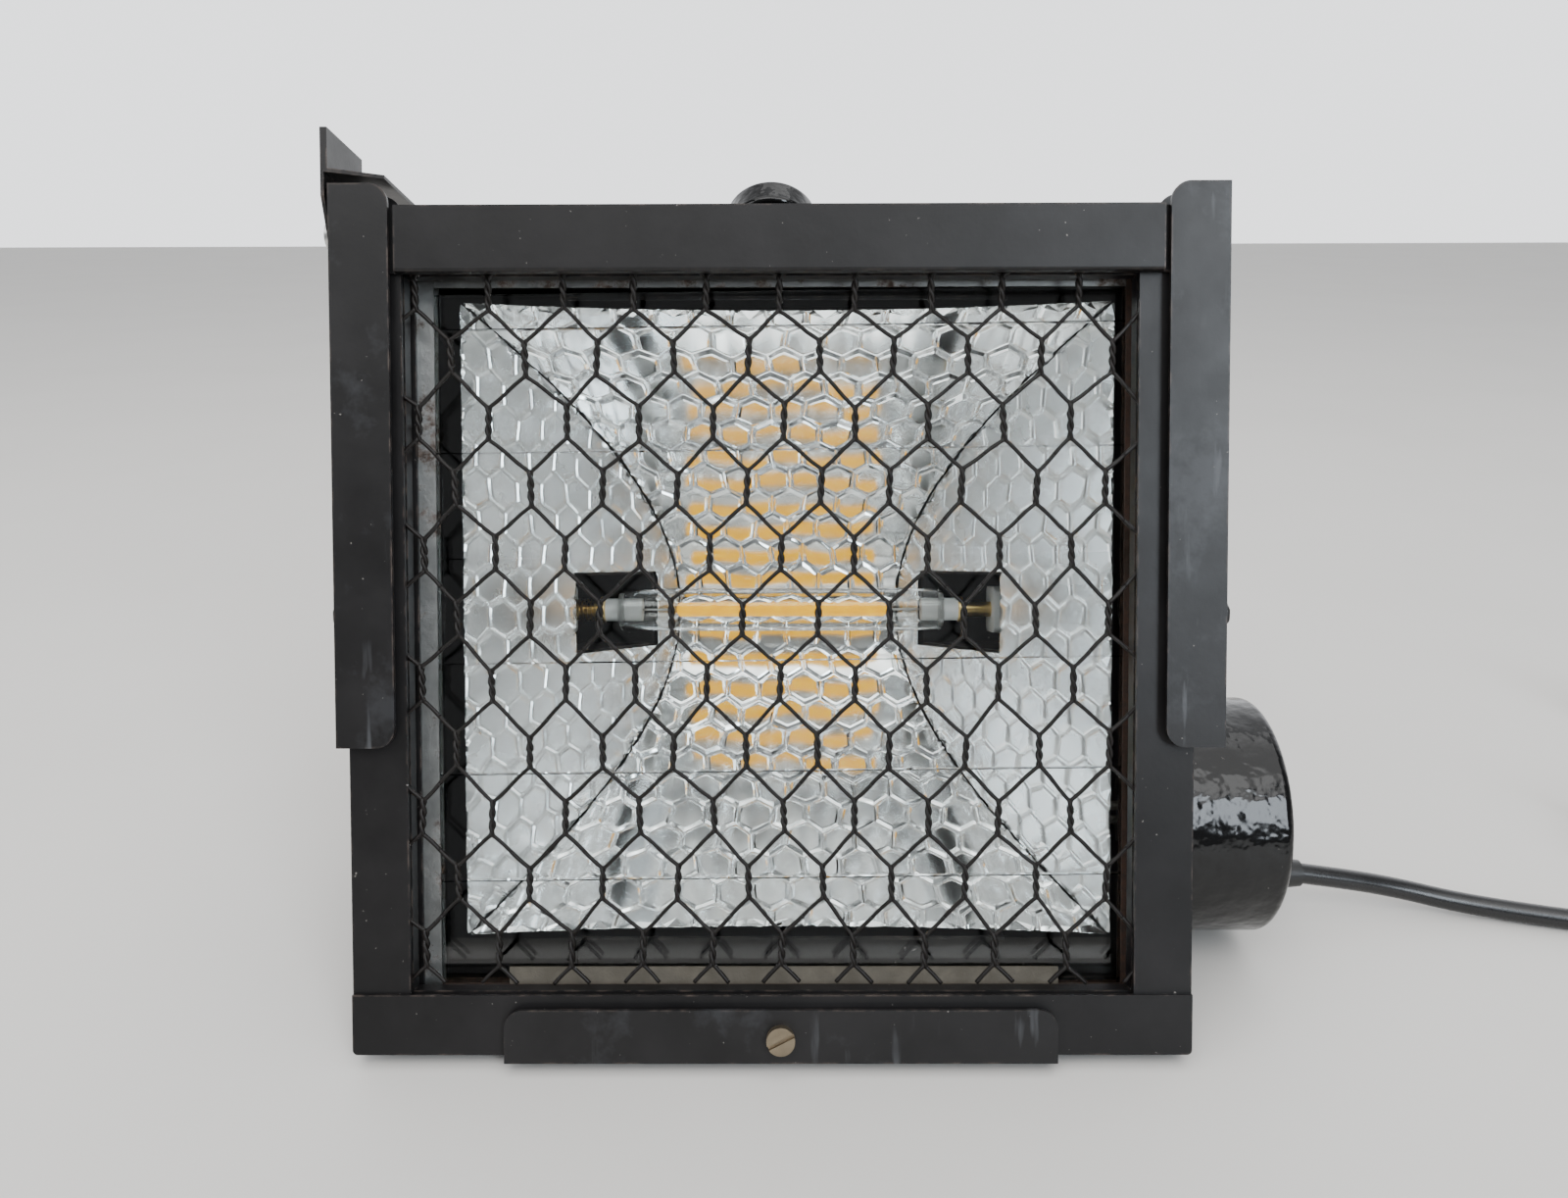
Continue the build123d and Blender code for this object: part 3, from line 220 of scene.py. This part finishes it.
def black_paint(name, scratched=0.0, shine=0.28):
    """Satin black enamel on sheet steel, dusty in patches, rubbed to brown-grey steel at the edges."""
    s = Shade(name, (0.0062, 0.0058, 0.0060), 0.40, Specular_IOR_Level=shine)
    broad = s.noise(28, 5, 0.6)
    fine = s.noise(900, 4, 0.6)
    s.tint(s.ramp(broad, 0.42, 0.72, 0.0, 0.8), (0.014, 0.013, 0.0135))
    specks = s.ramp(s.noise(700, 2, 0.5), 0.75, 0.775)
    s.tint(specks, (0.15, 0.14, 0.13))
    worn = s.times(s.edges(0.0009), s.ramp(s.noise(170, 4, 0.65), 0.47, 0.64))
    s.tint(worn, (0.085, 0.066, 0.056))
    if scratched:
        lines = s.noise(240, 3, 0.5, vector=s.stretched((1.0, 0.14, 0.14)))
        marks = s.times(s.ramp(lines, 0.62, 0.70), s.ramp(s.noise(19, 3, 0.6), 0.48, 0.60))
        s.tint(s.times(marks, 0.5 * scratched), (0.10, 0.104, 0.112))
        rubbed = s.ramp(s.noise(38, 5, 0.7), 0.55, 0.66, 0.0, 0.6)
        s.tint(s.times(rubbed, scratched), (0.030, 0.031, 0.034))
    s.vary("Roughness", s.noise(60, 5, 0.65), 0.27, 0.52)
    s.bump(fine, 0.00004, 0.5)
    s.bump(s.noise(55, 2, 0.5), 0.0006, 0.25)
    return s.material


def cast_black(name):
    """Thick glossy enamel with orange peel over a cast wall."""
    s = Shade(name, (0.0022, 0.0022, 0.0024), 0.10, Specular_IOR_Level=0.36)
    s.bump(s.noise(190, 2, 0.45), 0.0010, 0.5)
    s.bump(s.noise(60, 2, 0.5), 0.0016, 0.4)
    s.vary("Roughness", s.noise(90, 4, 0.6), 0.06, 0.20)
    s.tint(s.ramp(s.noise(700, 2), 0.75, 0.775), (0.06, 0.055, 0.05))
    return s.material


def steel(name, color, rough, rust=0.0, rust_color=(0.085, 0.048, 0.030)):
    """Bare or plated steel: crystalline mottling, fine brushing and rust blotches."""
    s = Shade(name, color, rough, 1.0)
    dull = tuple(c * 0.6 for c in color)
    s.tint(s.ramp(s.cells(240), 0.1, 0.75, 0.0, 0.55), dull)
    s.tint(s.ramp(s.noise(60, 5, 0.7), 0.45, 0.7, 0.0, 0.6), dull)
    if rust:
        blotch = s.ramp(s.noise(75, 7, 0.72), 0.62 - 0.28 * rust, 0.70 - 0.2 * rust)
        s.tint(blotch, rust_color)
        s.tint(s.times(blotch, s.ramp(s.noise(420, 5, 0.7), 0.42, 0.6)), (0.028, 0.018, 0.013))
        s.link(s.ramp(blotch, 0.0, 1.0, 1.0, 0.12), s.bsdf.inputs["Metallic"])
        s.vary("Roughness", blotch, rough, 0.85)
        s.bump(s.noise(520, 5, 0.7), 0.0003, 0.5)
    else:
        s.vary("Roughness", s.noise(160, 4, 0.6), rough * 0.7, rough * 1.4)
        s.bump(s.noise(700, 3, 0.6), 0.00006, 0.5)
    return s.material


def plastic(name, color, rough, grain=0.00005, shine=0.5):
    """Moulded plastic, fibre, woven sleeve or lacquered wire: blotches and a fine grain."""
    s = Shade(name, color, rough, Specular_IOR_Level=shine)
    s.tint(s.ramp(s.noise(120, 4, 0.6), 0.45, 0.7, 0.0, 0.5), tuple(min(1.0, c * 1.7 + 0.002) for c in color))
    s.vary("Roughness", s.noise(300, 4, 0.6), rough * 0.8, rough * 1.25)
    s.bump(s.noise(1800, 2, 0.5), grain, 0.6)
    return s.material


def ceramic(name, color):
    """Unglazed lamp ceramic, a little stained."""
    s = Shade(name, color, 0.42)
    s.tint(s.ramp(s.noise(180, 5, 0.7), 0.5, 0.75, 0.0, 0.5), tuple(c * 0.72 for c in color))
    s.bump(s.noise(900, 3, 0.6), 0.0001, 0.5)
    s.vary("Roughness", s.noise(400, 3), 0.32, 0.5)
    return s.material


def reflector_sheet(name, rough):
    """Bright rolled aluminium, duller in patches; its hexagons are geometry."""
    s = Shade(name, (0.93, 0.935, 0.94), rough, 1.0)
    s.tint(s.ramp(s.noise(35, 4, 0.6), 0.5, 0.8, 0.0, 0.3), (0.70, 0.71, 0.72))
    s.vary("Roughness", s.noise(45, 4, 0.6), rough * 0.75, rough * 1.35)
    s.bump(s.noise(120, 2, 0.5), 0.00003, 0.3)
    return s.material


def glass(name, tone):
    """Clear glass with a trace of haze and slight waves."""
    s = Shade(name, tone, 0.0, IOR=1.45, Transmission_Weight=1.0)
    s.vary("Roughness", s.ramp(s.noise(40, 5, 0.7), 0.5, 0.8), 0.0, 0.05)
    s.bump(s.noise(30, 2, 0.5), 0.00005, 0.15)
    return s.material


M = {
    "black_steel": black_paint("satin_black_steel"),
    "black_runner": black_paint("scratched_black_steel", 1.0, 0.34),
    "black_cast": cast_black("gloss_black_casting"),
    "plated_screw": steel("aged_brass_screw", (0.33, 0.27, 0.19), 0.42, 0.25),
    "zinc_steel": steel("zinc_plate", (0.55, 0.55, 0.54), 0.34),
    "galvanised": steel("galvanised_sheet", (0.36, 0.37, 0.365), 0.44, 0.28),
    "rusty_steel": steel("rusted_sheet", (0.07, 0.054, 0.044), 0.6, 0.95, (0.048, 0.024, 0.015)),
    "mesh_wire": plastic("dark_netting", (0.0050, 0.0036, 0.0030), 0.42, shine=0.28),
    "reflector_aluminium": reflector_sheet("hammered_reflector", 0.11),
    "end_aluminium": reflector_sheet("satin_reflector_end", 0.25),
    "white_ceramic": ceramic("white_ceramic", (0.90, 0.90, 0.885)),
    "pale_ceramic": ceramic("pale_ceramic", (0.70, 0.66, 0.58)),
    "spring_brass": steel("contact_brass", (0.85, 0.60, 0.24), 0.30),
    "fibre_strip": plastic("beige_fibre", (0.085, 0.075, 0.058), 0.75, 0.0002),
    "black_plastic": plastic("black_moulding", (0.006, 0.006, 0.006), 0.38),
    "cord_sheath": plastic("black_cord", (0.0045, 0.0045, 0.005), 0.27, 0.00002),
    "lead_sleeve": plastic("woven_sleeve", (0.62, 0.58, 0.50), 0.8, 0.0003),
    "clear_glass": glass("clear_strip", (0.93, 0.96, 0.95)),
    "quartz": glass("quartz", (0.97, 0.97, 0.96)),
}
glow = Shade("lit_filament", (0.55, 0.22, 0.0), 0.6, Specular_IOR_Level=0.1)
glow.bsdf.inputs["Emission Color"].default_value = (1.0, 0.50, 0.0, 1)
glow.link(glow.ramp(glow.noise(260, 2), 0.35, 0.65, 1.3, 1.6), glow.bsdf.inputs["Emission Strength"])
glow.bump(glow.noise(900, 2), 0.0001)
M["lit_filament"] = glow.material

# Seen from the front, these have another finish than their slot's usual one: the contact spring is brass, and the
# reflector brackets get black paint, a painted shade for the dark band where they lie in shadow under the top of
# the housing.
look_of = {"contact_spring": "spring_brass", "reflector_brackets": "black_steel"}
slot_of = {p["node"]: p["material_slot"] for p in frame["record"]["subparts"]}
for node, obj in frame["nodes"].items():
    obj.data.materials.clear()
    obj.data.materials.append(M[look_of.get(node, slot_of[node])])

# Sheared sheet, forged and cast pieces have softened edges: their widths in mm
SOFTENED = {
    "black_steel": 0.22, "black_runner": 0.25, "black_cast": 0.5, "black_plastic": 0.3, "zinc_steel": 0.15,
}
LEFT_SHARP = ("contact_spring", "gland_tail", "box_nipple")
SHARPEST = math.radians(40)
for node, obj in frame["nodes"].items():
    width = SOFTENED.get(slot_of[node])
    if width and node not in LEFT_SHARP:
        soften = obj.modifiers.new("softened_edges", "BEVEL")
        soften.width = width * MM
        soften.segments = 2
        soften.limit_method = "ANGLE"
        soften.angle_limit = SHARPEST

# ---------------------------------------------------------------- cord and coil
CORD = 6.5 * MM
run = [
    (157.75, -42.9, 13.0), (173.0, -42.9, 10.8), (190.0, -43.1, 7.6), (207.0, -46.1, 4.5),
    (228.0, -51.1, 3.4), (252.0, -57.1, 3.3), (280.0, -65.5, 3.3), (306.6, -73.6, 3.3),
]
tail = [(359.5, -32.2, 14.6), (360.0, -17.2, 15.7), (363.2, -1.2, 17.6), (366.0, 12.8, 18.5)]
coil_middle = (318.0, -33.6)
# Each turn's radius and height; layers nest in the grooves of the layer below
turns = [
    (41.5, 3.4), (35.0, 3.4), (28.6, 3.4), (31.8, 9.0), (38.2, 9.0), (29.0, 14.7), (35.4, 14.7), (41.5, 14.6),
]
STEP_FROM, STEP_LONG = 0.72, 0.28  # each turn keeps its radius this far round, then steps to the next one's
first_angle = math.atan2(run[-1][1] - coil_middle[1], run[-1][0] - coil_middle[0])
WHOLE_TURNS = 7
last_angle = math.atan2(tail[0][1] - coil_middle[1], tail[0][0] - coil_middle[0]) + 2 * math.pi * WHOLE_TURNS
PER_TURN = 16
route = list(run[:-1])
steps = int((last_angle - first_angle) / (2 * math.pi) * PER_TURN)
for i in range(steps + 1):
    angle = first_angle + (last_angle - first_angle) * i / steps
    at = (angle - first_angle) / (2 * math.pi)
    k = min(int(at), len(turns) - 2)
    part = min(max((at - k - STEP_FROM) / STEP_LONG, 0.0), 1.0)
    ease = part * part * (3 - 2 * part)
    radius = turns[k][0] + (turns[k + 1][0] - turns[k][0]) * ease
    height = turns[k][1] + (turns[k + 1][1] - turns[k][1]) * ease
    across, along = radius * math.cos(angle), radius * math.sin(angle)
    route.append((coil_middle[0] + across, coil_middle[1] + along, height))
route += tail[1:]

curve = bpy.data.curves.new("mains_cord", "CURVE")
curve.dimensions = "3D"
spline = curve.splines.new("NURBS")
spline.points.add(len(route) - 1)
for point, place in zip(spline.points, route):
    point.co = (*[v * MM for v in place], 1)
spline.order_u = 3
spline.use_endpoint_u = True
spline.resolution_u = 6
curve.bevel_depth = CORD / 2
curve.bevel_resolution = 5
curve.use_fill_caps = True
cord = bpy.data.objects.new("mains_cord", curve)
bpy.context.scene.collection.objects.link(cord)
grow(cord, "housing", M["cord_sheath"], ["cord_run", "cord_coil"])
[v * MM for v in run[0]]

# ---------------------------------------------------------------- swept tubes


def tube(verts, faces, points, radius, sides=8):
    """Adds a capped round tube along the points (Vectors, metres)."""
    start = len(verts)
    count = len(points)
    normal = None
    for i, point in enumerate(points):
        ahead = points[min(i + 1, count - 1)] - points[max(i - 1, 0)]
        ahead.normalize()
        if normal is None:
            normal = ahead.orthogonal().normalized()
        normal = (normal - ahead * normal.dot(ahead)).normalized()
        across = ahead.cross(normal)
        r = radius[i] if isinstance(radius, list) else radius
        for k in range(sides):
            a = 2 * math.pi * k / sides
            verts.append(point + (normal * math.cos(a) + across * math.sin(a)) * r)
    for i in range(count - 1):
        for k in range(sides):
            a = start + i * sides + k
            b = start + i * sides + (k + 1) % sides
            faces.append((a, b, b + sides, a + sides))
    faces.append(tuple(start + k for k in reversed(range(sides))))
    faces.append(tuple(start + (count - 1) * sides + k for k in range(sides)))


def smooth_path(points, steps=4):
    """Catmull-Rom points through a short list of Vectors."""
    out = []
    for i in range(len(points) - 1):
        p0 = points[max(i - 1, 0)]
        p1, p2 = points[i], points[i + 1]
        p3 = points[min(i + 2, len(points) - 1)]
        for k in range(steps):
            t = k / steps
            out.append(
                0.5 * ((2 * p1) + (p2 - p0) * t + (2 * p0 - 5 * p1 + 4 * p2 - p3) * t * t
                       + (3 * p1 - p0 - 3 * p2 + p3) * t * t * t)
            )
    out.append(points[-1].copy())
    return out


# ---------------------------------------------------------------- netting
PITCH_X, TWIST = 19.07, 9.2     # distance between twists in a row, length of a twist
PITCH_U, PULL = 16.75, 0.058    # distance between the rows, which grows a little downwards
TOP_ROW, FIRST_X = 89.6, 0.6
ROWS, COLUMNS = 11, range(-6, 7)
BAR_LEFT, BAR_RIGHT = -103.5, 98.6
NET_DEPTH = 2.75
WIRE = 0.56                     # radius of one strand
TWIST_STEPS, HALF_TURNS = 11, 3
SHOULDER, DROP, SAG = 0.75, 0.25, 0.1
random.seed(11)
centres = {}
for row in range(-1, ROWS + 1):
    for column in COLUMNS:
        x = FIRST_X + PITCH_X * (column + (0.5 if row % 2 else 0.0))
        u = TOP_ROW - PITCH_U * row - PULL * row * row
        sway = 0.55 * math.sin(row * 0.9 + column * 0.4)
        x = x + sway + random.uniform(-0.7, 0.7)
        u = u + random.uniform(-0.5, 0.5)
        lean = random.uniform(-0.06, 0.06)
        random.random()  # not used; it keeps the later draws, and so the net's shape, as they were
        centres[row, column] = (x, u, lean, TWIST / 2 * random.uniform(0.93, 1.07))


def twist_end(row, column, upper):
    x, u, lean, half = centres[row, column]
    sign = 1 if upper else -1
    return x + sign * half * math.sin(lean), u + sign * half


def leg(near, far, shift, lift):
    """The plain part of a strand between two twists: the point on its way, then its middle."""
    (near_x, near_u), (far_x, far_u) = near, far
    way = lamp(near_x * 0.72 + far_x * 0.28 + shift, NET_DEPTH, near_u * 0.72 + far_u * 0.28 + lift)
    return way, lamp((near_x + far_x) / 2, NET_DEPTH, (near_u + far_u) / 2)


def strand_points(row, column, left_above):
    """One of the two strands through a twist, from halfway to the row above to halfway to the row below."""
    odd = row % 2
    above = (row - 1, column - 1 + odd if left_above else column + odd)
    below = (row + 1, column + odd if left_above else column - 1 + odd)
    top_x, top_u = twist_end(row, column, True)
    low_x, low_u = twist_end(row, column, False)
    spread = -1 if left_above else 1
    points = []
    if above in centres:
        way, middle = leg((top_x, top_u), twist_end(*above, False), spread * DROP, -SAG)
        points += [middle, way]
    points.append(lamp(top_x + spread * SHOULDER, NET_DEPTH, top_u + DROP))
    first = math.pi if left_above else 0
    for k in range(TWIST_STEPS + 1):
        t = k / TWIST_STEPS
        a = first + HALF_TURNS * math.pi * t
        wide = WIRE * (0.66 + 0.2 * math.sin(math.pi * t))
        x, u = top_x + (low_x - top_x) * t, top_u + (low_u - top_u) * t
        points.append(lamp(x + math.cos(a) * wide, NET_DEPTH + math.sin(a) * WIRE * 0.8, u))
    points.append(lamp(low_x - spread * SHOULDER, NET_DEPTH, low_u - DROP))
    if below in centres:
        points += leg((low_x, low_u), twist_end(*below, True), -spread * DROP, SAG)
    return points


net_verts, net_faces = [], []
for row in range(ROWS):
    for column in COLUMNS:
        if BAR_LEFT < centres[row, column][0] < BAR_RIGHT:
            for left_above in (True, False):
                path = smooth_path(strand_points(row, column, left_above), 3)
                tube(net_verts, net_faces, path, WIRE * random.uniform(0.95, 1.04) * MM)
netting = mesh_object("wire_netting", net_verts, net_faces)
grow(netting, "guard_frame", M["mesh_wire"], ["wire_mesh"])

# ---------------------------------------------------------------- reflector
FOCAL, VERTEX, MOUTH = 22.0, 103.0, 17.0    # the parabola's focal length, and its depths in the housing
MID_X, MID_U = 2.0, 3.0
BACK_HALF, FLARE = 38.3, 0.59               # half the trough's width at its back, and how it widens forwards
CELL = 10.6                      # embossed hexagons, across their flats
ROW = CELL * math.sqrt(3) / 2
PER_SIDE = 3
# Rings of one cell: distance in from its border, 1 on the pad or 0 in the valley, and depth below that
RINGS = [(0.0, 0.0, 0.0), (0.30, 0.0, 0.06), (0.85, 1.0, 0.16), (1.30, 1.0, 0.0), (1.75, 1.0, 0.0)]
PRESSED_EDGE = math.radians(9)
SHEET = 0.4 * MM
SAME_POINT = 0.00002
half_height = math.sqrt(4 * FOCAL * (VERTEX - MOUTH))


def unit_hexagon():
    """Points round a hexagon with a flat side at distance 1, pointed ends up."""
    corners = [(math.radians(30 + 60 * k), 1 / math.cos(math.radians(30))) for k in range(7)]
    out = []
    for (turn_a, far), (turn_b, _) in zip(corners, corners[1:]):
        for k in range(PER_SIDE):
            t = k / PER_SIDE
            out.append((far * (math.cos(turn_a) * (1 - t) + math.cos(turn_b) * t),
                        far * (math.sin(turn_a) * (1 - t) + math.sin(turn_b) * t), k == 0))
    return out


HEXAGON = unit_hexagon()


def warp(a, b):
    """Makes the pressed pattern slightly uneven."""
    return (a + 0.55 * math.sin(0.17 * b + 0.6) + 0.35 * math.sin(0.23 * a + 0.31 * b),
            b + 0.45 * math.sin(0.21 * a + 1.1) + 0.35 * math.sin(0.13 * b - 0.27 * a))


def hex_sheet(name, reach, raised, skew, inside, pad, place):
    """Embossed sheet: hexagonal pads, each a little askew, with steep sides and narrow valleys."""
    verts, faces = [], []
    around = len(HEXAGON)
    columns, rows = int(reach[0] / CELL) + 2, int(reach[1] / ROW) + 2
    for j in range(-rows, rows + 1):
        for i in range(-columns, columns + 1):
            middle = ((i + (0.5 if j % 2 else 0.0)) * CELL, j * ROW)
            lean_a, lean_b = random.uniform(-skew, skew), random.uniform(-skew, skew)
            if not inside(*middle):
                continue
            start = len(verts)
            for inset, share, drop in RINGS:
                apothem = CELL / 2 - inset
                for unit_a, unit_b, corner in HEXAGON:
                    size = apothem * (0.975 if corner and share else 1.0)
                    da, db = unit_a * size, unit_b * size
                    rise = share * (raised + lean_a * da + lean_b * db + pad(*middle, da, db)) - drop
                    verts.append(place(*warp(middle[0] + da, middle[1] + db), rise))
            verts.append(place(*warp(*middle), raised + pad(*middle, 0.0, 0.0)))
            for ring in range(len(RINGS) - 1):
                for k in range(around):
                    one, two = start + ring * around + k, start + ring * around + (k + 1) % around
                    faces.append((one, two, two + around, one + around))
            last = start + (len(RINGS) - 1) * around
            for k in range(around):
                faces.append((last + k, last + (k + 1) % around, len(verts) - 1))
    return mesh_object(name, verts, faces)


def finish_sheet(obj, cuts=(), inside_hole=None):
    """Joins the cells, cuts an opening and gives the sheet its thickness."""
    mesh = bmesh.new()
    mesh.from_mesh(obj.data)
    bmesh.ops.remove_doubles(mesh, verts=mesh.verts, dist=SAME_POINT)
    for point, direction in cuts:
        everything = mesh.verts[:] + mesh.edges[:] + mesh.faces[:]
        bmesh.ops.bisect_plane(mesh, geom=everything, plane_co=point, plane_no=direction, dist=0.000001)
    if inside_hole:
        lost = [face for face in mesh.faces if inside_hole(face.calc_center_median())]
        bmesh.ops.delete(mesh, geom=lost, context="FACES")
    bmesh.ops.dissolve_degenerate(mesh, edges=mesh.edges, dist=SAME_POINT)
    bmesh.ops.recalc_face_normals(mesh, faces=mesh.faces)
    mesh.to_mesh(obj.data)
    mesh.free()
    for polygon in obj.data.polygons:
        polygon.use_smooth = True
    obj.data.set_sharp_from_angle(angle=PRESSED_EDGE)
    sheet = obj.modifiers.new("sheet", "SOLIDIFY")
    sheet.thickness = SHEET
    sheet.offset = 0


# Arc length along the parabola against the height, so that the cells stay even round the curve
TABLE_STEP = 0.25
table = [(0.0, 0.0)]
while table[-1][1] < half_height:
    h = table[-1][1]
    h2 = min(h + TABLE_STEP, half_height)
    table.append((table[-1][0] + math.hypot(h2 - h, (h2 * h2 - h * h) / (4 * FOCAL)), h2))
arc = table[-1][0]


def height_at(along):
    """Height over the middle of the trough at a distance along its curve."""
    along = min(max(along, -arc), arc)
    place = bisect.bisect_right(table, (abs(along), math.inf)) - 1
    (s0, h0), (s1, h1) = table[min(place, len(table) - 2)], table[min(place + 1, len(table) - 1)]
    return math.copysign(h0 + (h1 - h0) * (abs(along) - s0) / (s1 - s0), along)


def stretched(b):
    """The pressed pattern is drawn longer towards the trough's lips, where the sheet was bent least."""
    return b * (1.06 + 0.10 * min(abs(b) / arc, 1.0) ** 1.5)


MARGIN = 0.9           # between the trough's sides and the end plates
BOW, LIP_HALF = 2.3, 89  # the lips bow in at their middle, over half their length


def trough_place(x, b, rise):
    along = stretched(b)
    h = height_at(along)
    depth = VERTEX - h * h / (4 * FOCAL)
    reach = BACK_HALF + FLARE * (VERTEX - depth) - MARGIN
    if abs(x) > reach or abs(along) > arc:
        x = max(min(x, reach), -reach)
        rise = 0.0
    normal = Vector((0, -2 * FOCAL, -h)).normalized()
    bow = BOW * (1 - (x / LIP_HALF) ** 2) * ((VERTEX - depth) / (VERTEX - MOUTH)) ** 3
    return lamp(MID_X + x, depth + normal.y * rise, MID_U + h - math.copysign(bow, h) + normal.z * rise)


def trough_inside(x, b):
    along = stretched(b)
    depth = VERTEX - height_at(along) ** 2 / (4 * FOCAL)
    reach = BACK_HALF + FLARE * (VERTEX - depth)
    return abs(along) < arc + CELL * 0.55 and abs(x) < reach + CELL * 0.45


def trough_pad(_, b, da, db):
    """Pads are flat, not curved with the trough, and some bands of them lean more than the curve does."""
    h = height_at(stretched(b))
    radius = 2 * FOCAL * (1 + (h / (2 * FOCAL)) ** 2) ** 1.5
    lean = 0.0
    if 41 < h < 78:
        lean = 0.0016 * (h - 20)
    elif -56 < h < -12:
        lean = -0.028 + 0.0011 * h
    return lean * db - (0.5 / radius + 0.0002) * db * db - 0.0005 * da * da


TROUGH_HALF, TROUGH_RAISED, TROUGH_SKEW = 92, 0.62, 0.026
trough = hex_sheet("dimpled_trough", (TROUGH_HALF, arc), TROUGH_RAISED, TROUGH_SKEW,
                   trough_inside, trough_pad, trough_place)
finish_sheet(trough)
grow(trough, "housing", M["reflector_aluminium"], ["reflector_trough"])

CUT_FRONT, CUT_BACK, CUT_HALF, CUT_MIDDLE = 55.7, 91.8, 12.6, 3.4
SLANT = math.hypot(1, FLARE)
PLATE_LONG, PLATE_RAISED, PLATE_SKEW = 105, 0.56, 0.008


def end_plate(name, hand, node):
    def limit(depth):
        return math.sqrt(4 * FOCAL * max(VERTEX - depth, 0.0)) - 0.5

    def place(along, h, rise):
        depth = VERTEX - along / SLANT
        if not MOUTH < depth < VERTEX - 0.5:
            depth = min(max(depth, MOUTH), VERTEX - 0.5)
            rise = 0.0
        if abs(h) > limit(depth):
            h = math.copysign(limit(depth), h)
            rise = 0.0
        x = hand * (BACK_HALF + FLARE * (VERTEX - depth)) - hand * rise / SLANT
        return lamp(MID_X + x, depth - rise * FLARE / SLANT, MID_U + h)

    def inside(along, h):
        depth = VERTEX - along / SLANT
        return MOUTH - 5 < depth < VERTEX + 5 and abs(h) < limit(min(depth - 5, VERTEX - 5)) + 4

    def pad(along, h, da, db):
        return -0.0012 * (da * da + db * db)

    def in_hole(point):
        depth, up = (point - FACE).dot(IN) / MM, (point - FACE).dot(UP) / MM
        return CUT_FRONT < depth < CUT_BACK and abs(up - CUT_MIDDLE) < CUT_HALF

    plate = hex_sheet(name, (PLATE_LONG, half_height), PLATE_RAISED, PLATE_SKEW, inside, pad, place)
    cuts = [(lamp(0, depth, 0), IN) for depth in (CUT_FRONT, CUT_BACK)]
    cuts += [(lamp(0, 0, CUT_MIDDLE + half), UP) for half in (-CUT_HALF, CUT_HALF)]
    finish_sheet(plate, cuts, in_hole)
    grow(plate, "housing", M["end_aluminium"], [node])


end_plate("dimpled_end_left", -1, "reflector_end_left")
end_plate("dimpled_end_right", 1, "reflector_end_right")

# ---------------------------------------------------------------- lit element of the lamp
element_low, element_high = (Vector(corner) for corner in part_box("lamp_filament"))
element_middle = (element_low + element_high) / 2
lead_out = (element_high.x - element_low.x) / 2
LIT_HALF, LIT_RADIUS, LEAD_RADIUS = 34.6 * MM, 2.3 * MM, 0.4 * MM
rod = [(-LIT_HALF, 1.2 * MM), (-LIT_HALF + 0.5 * MM, 1.9 * MM), (-LIT_HALF + 1.1 * MM, LIT_RADIUS)]
rod += [(LIT_HALF * k / 12, LIT_RADIUS * (1 + 0.02 * math.sin(5.0 * k))) for k in range(-11, 12)]
rod += [(-x, radius) for x, radius in reversed(rod[:3])]
rod_verts, rod_faces = [], []
tube(rod_verts, rod_faces, [element_middle + RIGHT * x for x, _ in rod], [radius for _, radius in rod], 20)
lit_rod = mesh_object("lit_rod", rod_verts, rod_faces)
grow(lit_rod, "housing", M["lit_filament"], ["lamp_filament"])
lead_verts, lead_faces = [], []
for hand in (-1, 1):
    ends = [element_middle + RIGHT * hand * (LIT_HALF + (lead_out - LIT_HALF) * k / 6) for k in range(7)]
    tube(lead_verts, lead_faces, ends, LEAD_RADIUS)
grow(mesh_object("rod_leads", lead_verts, lead_faces), "housing", M["zinc_steel"])

# ---------------------------------------------------------------- stage
FLOOR = 4  # half its side, in metres
corners = [(-FLOOR, -FLOOR, 0), (FLOOR, -FLOOR, 0), (FLOOR, FLOOR, 0), (-FLOOR, FLOOR, 0)]
floor = mesh_object("floor", corners, [(0, 1, 2, 3)], False)
pale = Shade("pale_floor", (0.62, 0.60, 0.57), 0.6)
pale.tint(pale.ramp(pale.noise(6, 4), 0.4, 0.7, 0.0, 0.3), (0.56, 0.54, 0.51))
floor.data.materials.append(pale.material)

world = bpy.data.worlds.new("studio")
bpy.context.scene.world = world
world.use_nodes = True
sky = world.node_tree.nodes
wires = world.node_tree.links
background = sky["Background"]
background.inputs["Color"].default_value = (0.96, 0.975, 1.0, 1)
axes = sky.new("ShaderNodeSeparateXYZ")
wires.new(sky.new("ShaderNodeTexCoord").outputs["Generated"], axes.inputs[0])
# A pale wall behind the lamp, a dimmer room in front of it
wall = sky.new("ShaderNodeMapRange")
wall.interpolation_type = "SMOOTHSTEP"
for key, value in (("From Min", -0.1), ("From Max", 0.8), ("To Min", 0.24), ("To Max", 2.1)):
    wall.inputs[key].default_value = value
wires.new(axes.outputs["Y"], wall.inputs["Value"])
wires.new(wall.outputs["Result"], background.inputs["Strength"])


AIM = Vector((0, 0, 0.1))


def area(name, place, width, tall, watts, color=(1, 1, 1)):
    data = bpy.data.lights.new(name, "AREA")
    data.shape = "RECTANGLE"
    data.size = width
    data.size_y = tall
    data.energy = watts
    data.color = color
    light = bpy.data.objects.new(name, data)
    light.location = place
    light.rotation_euler = (AIM - Vector(place)).to_track_quat("-Z", "Y").to_euler()
    bpy.context.scene.collection.objects.link(light)


area("overhead", (0.1, -0.35, 1.5), 2.0, 1.8, 24)
area("front", (-0.1, -1.25, 1.75), 2.4, 0.9, 20)
area("window_left", (-1.5, -0.9, 0.8), 0.8, 0.9, 9, (0.97, 0.98, 1.0))
area("window_right", (0.86, -1.55, 0.9), 0.5, 0.9, 21, (0.84, 0.92, 1.0))
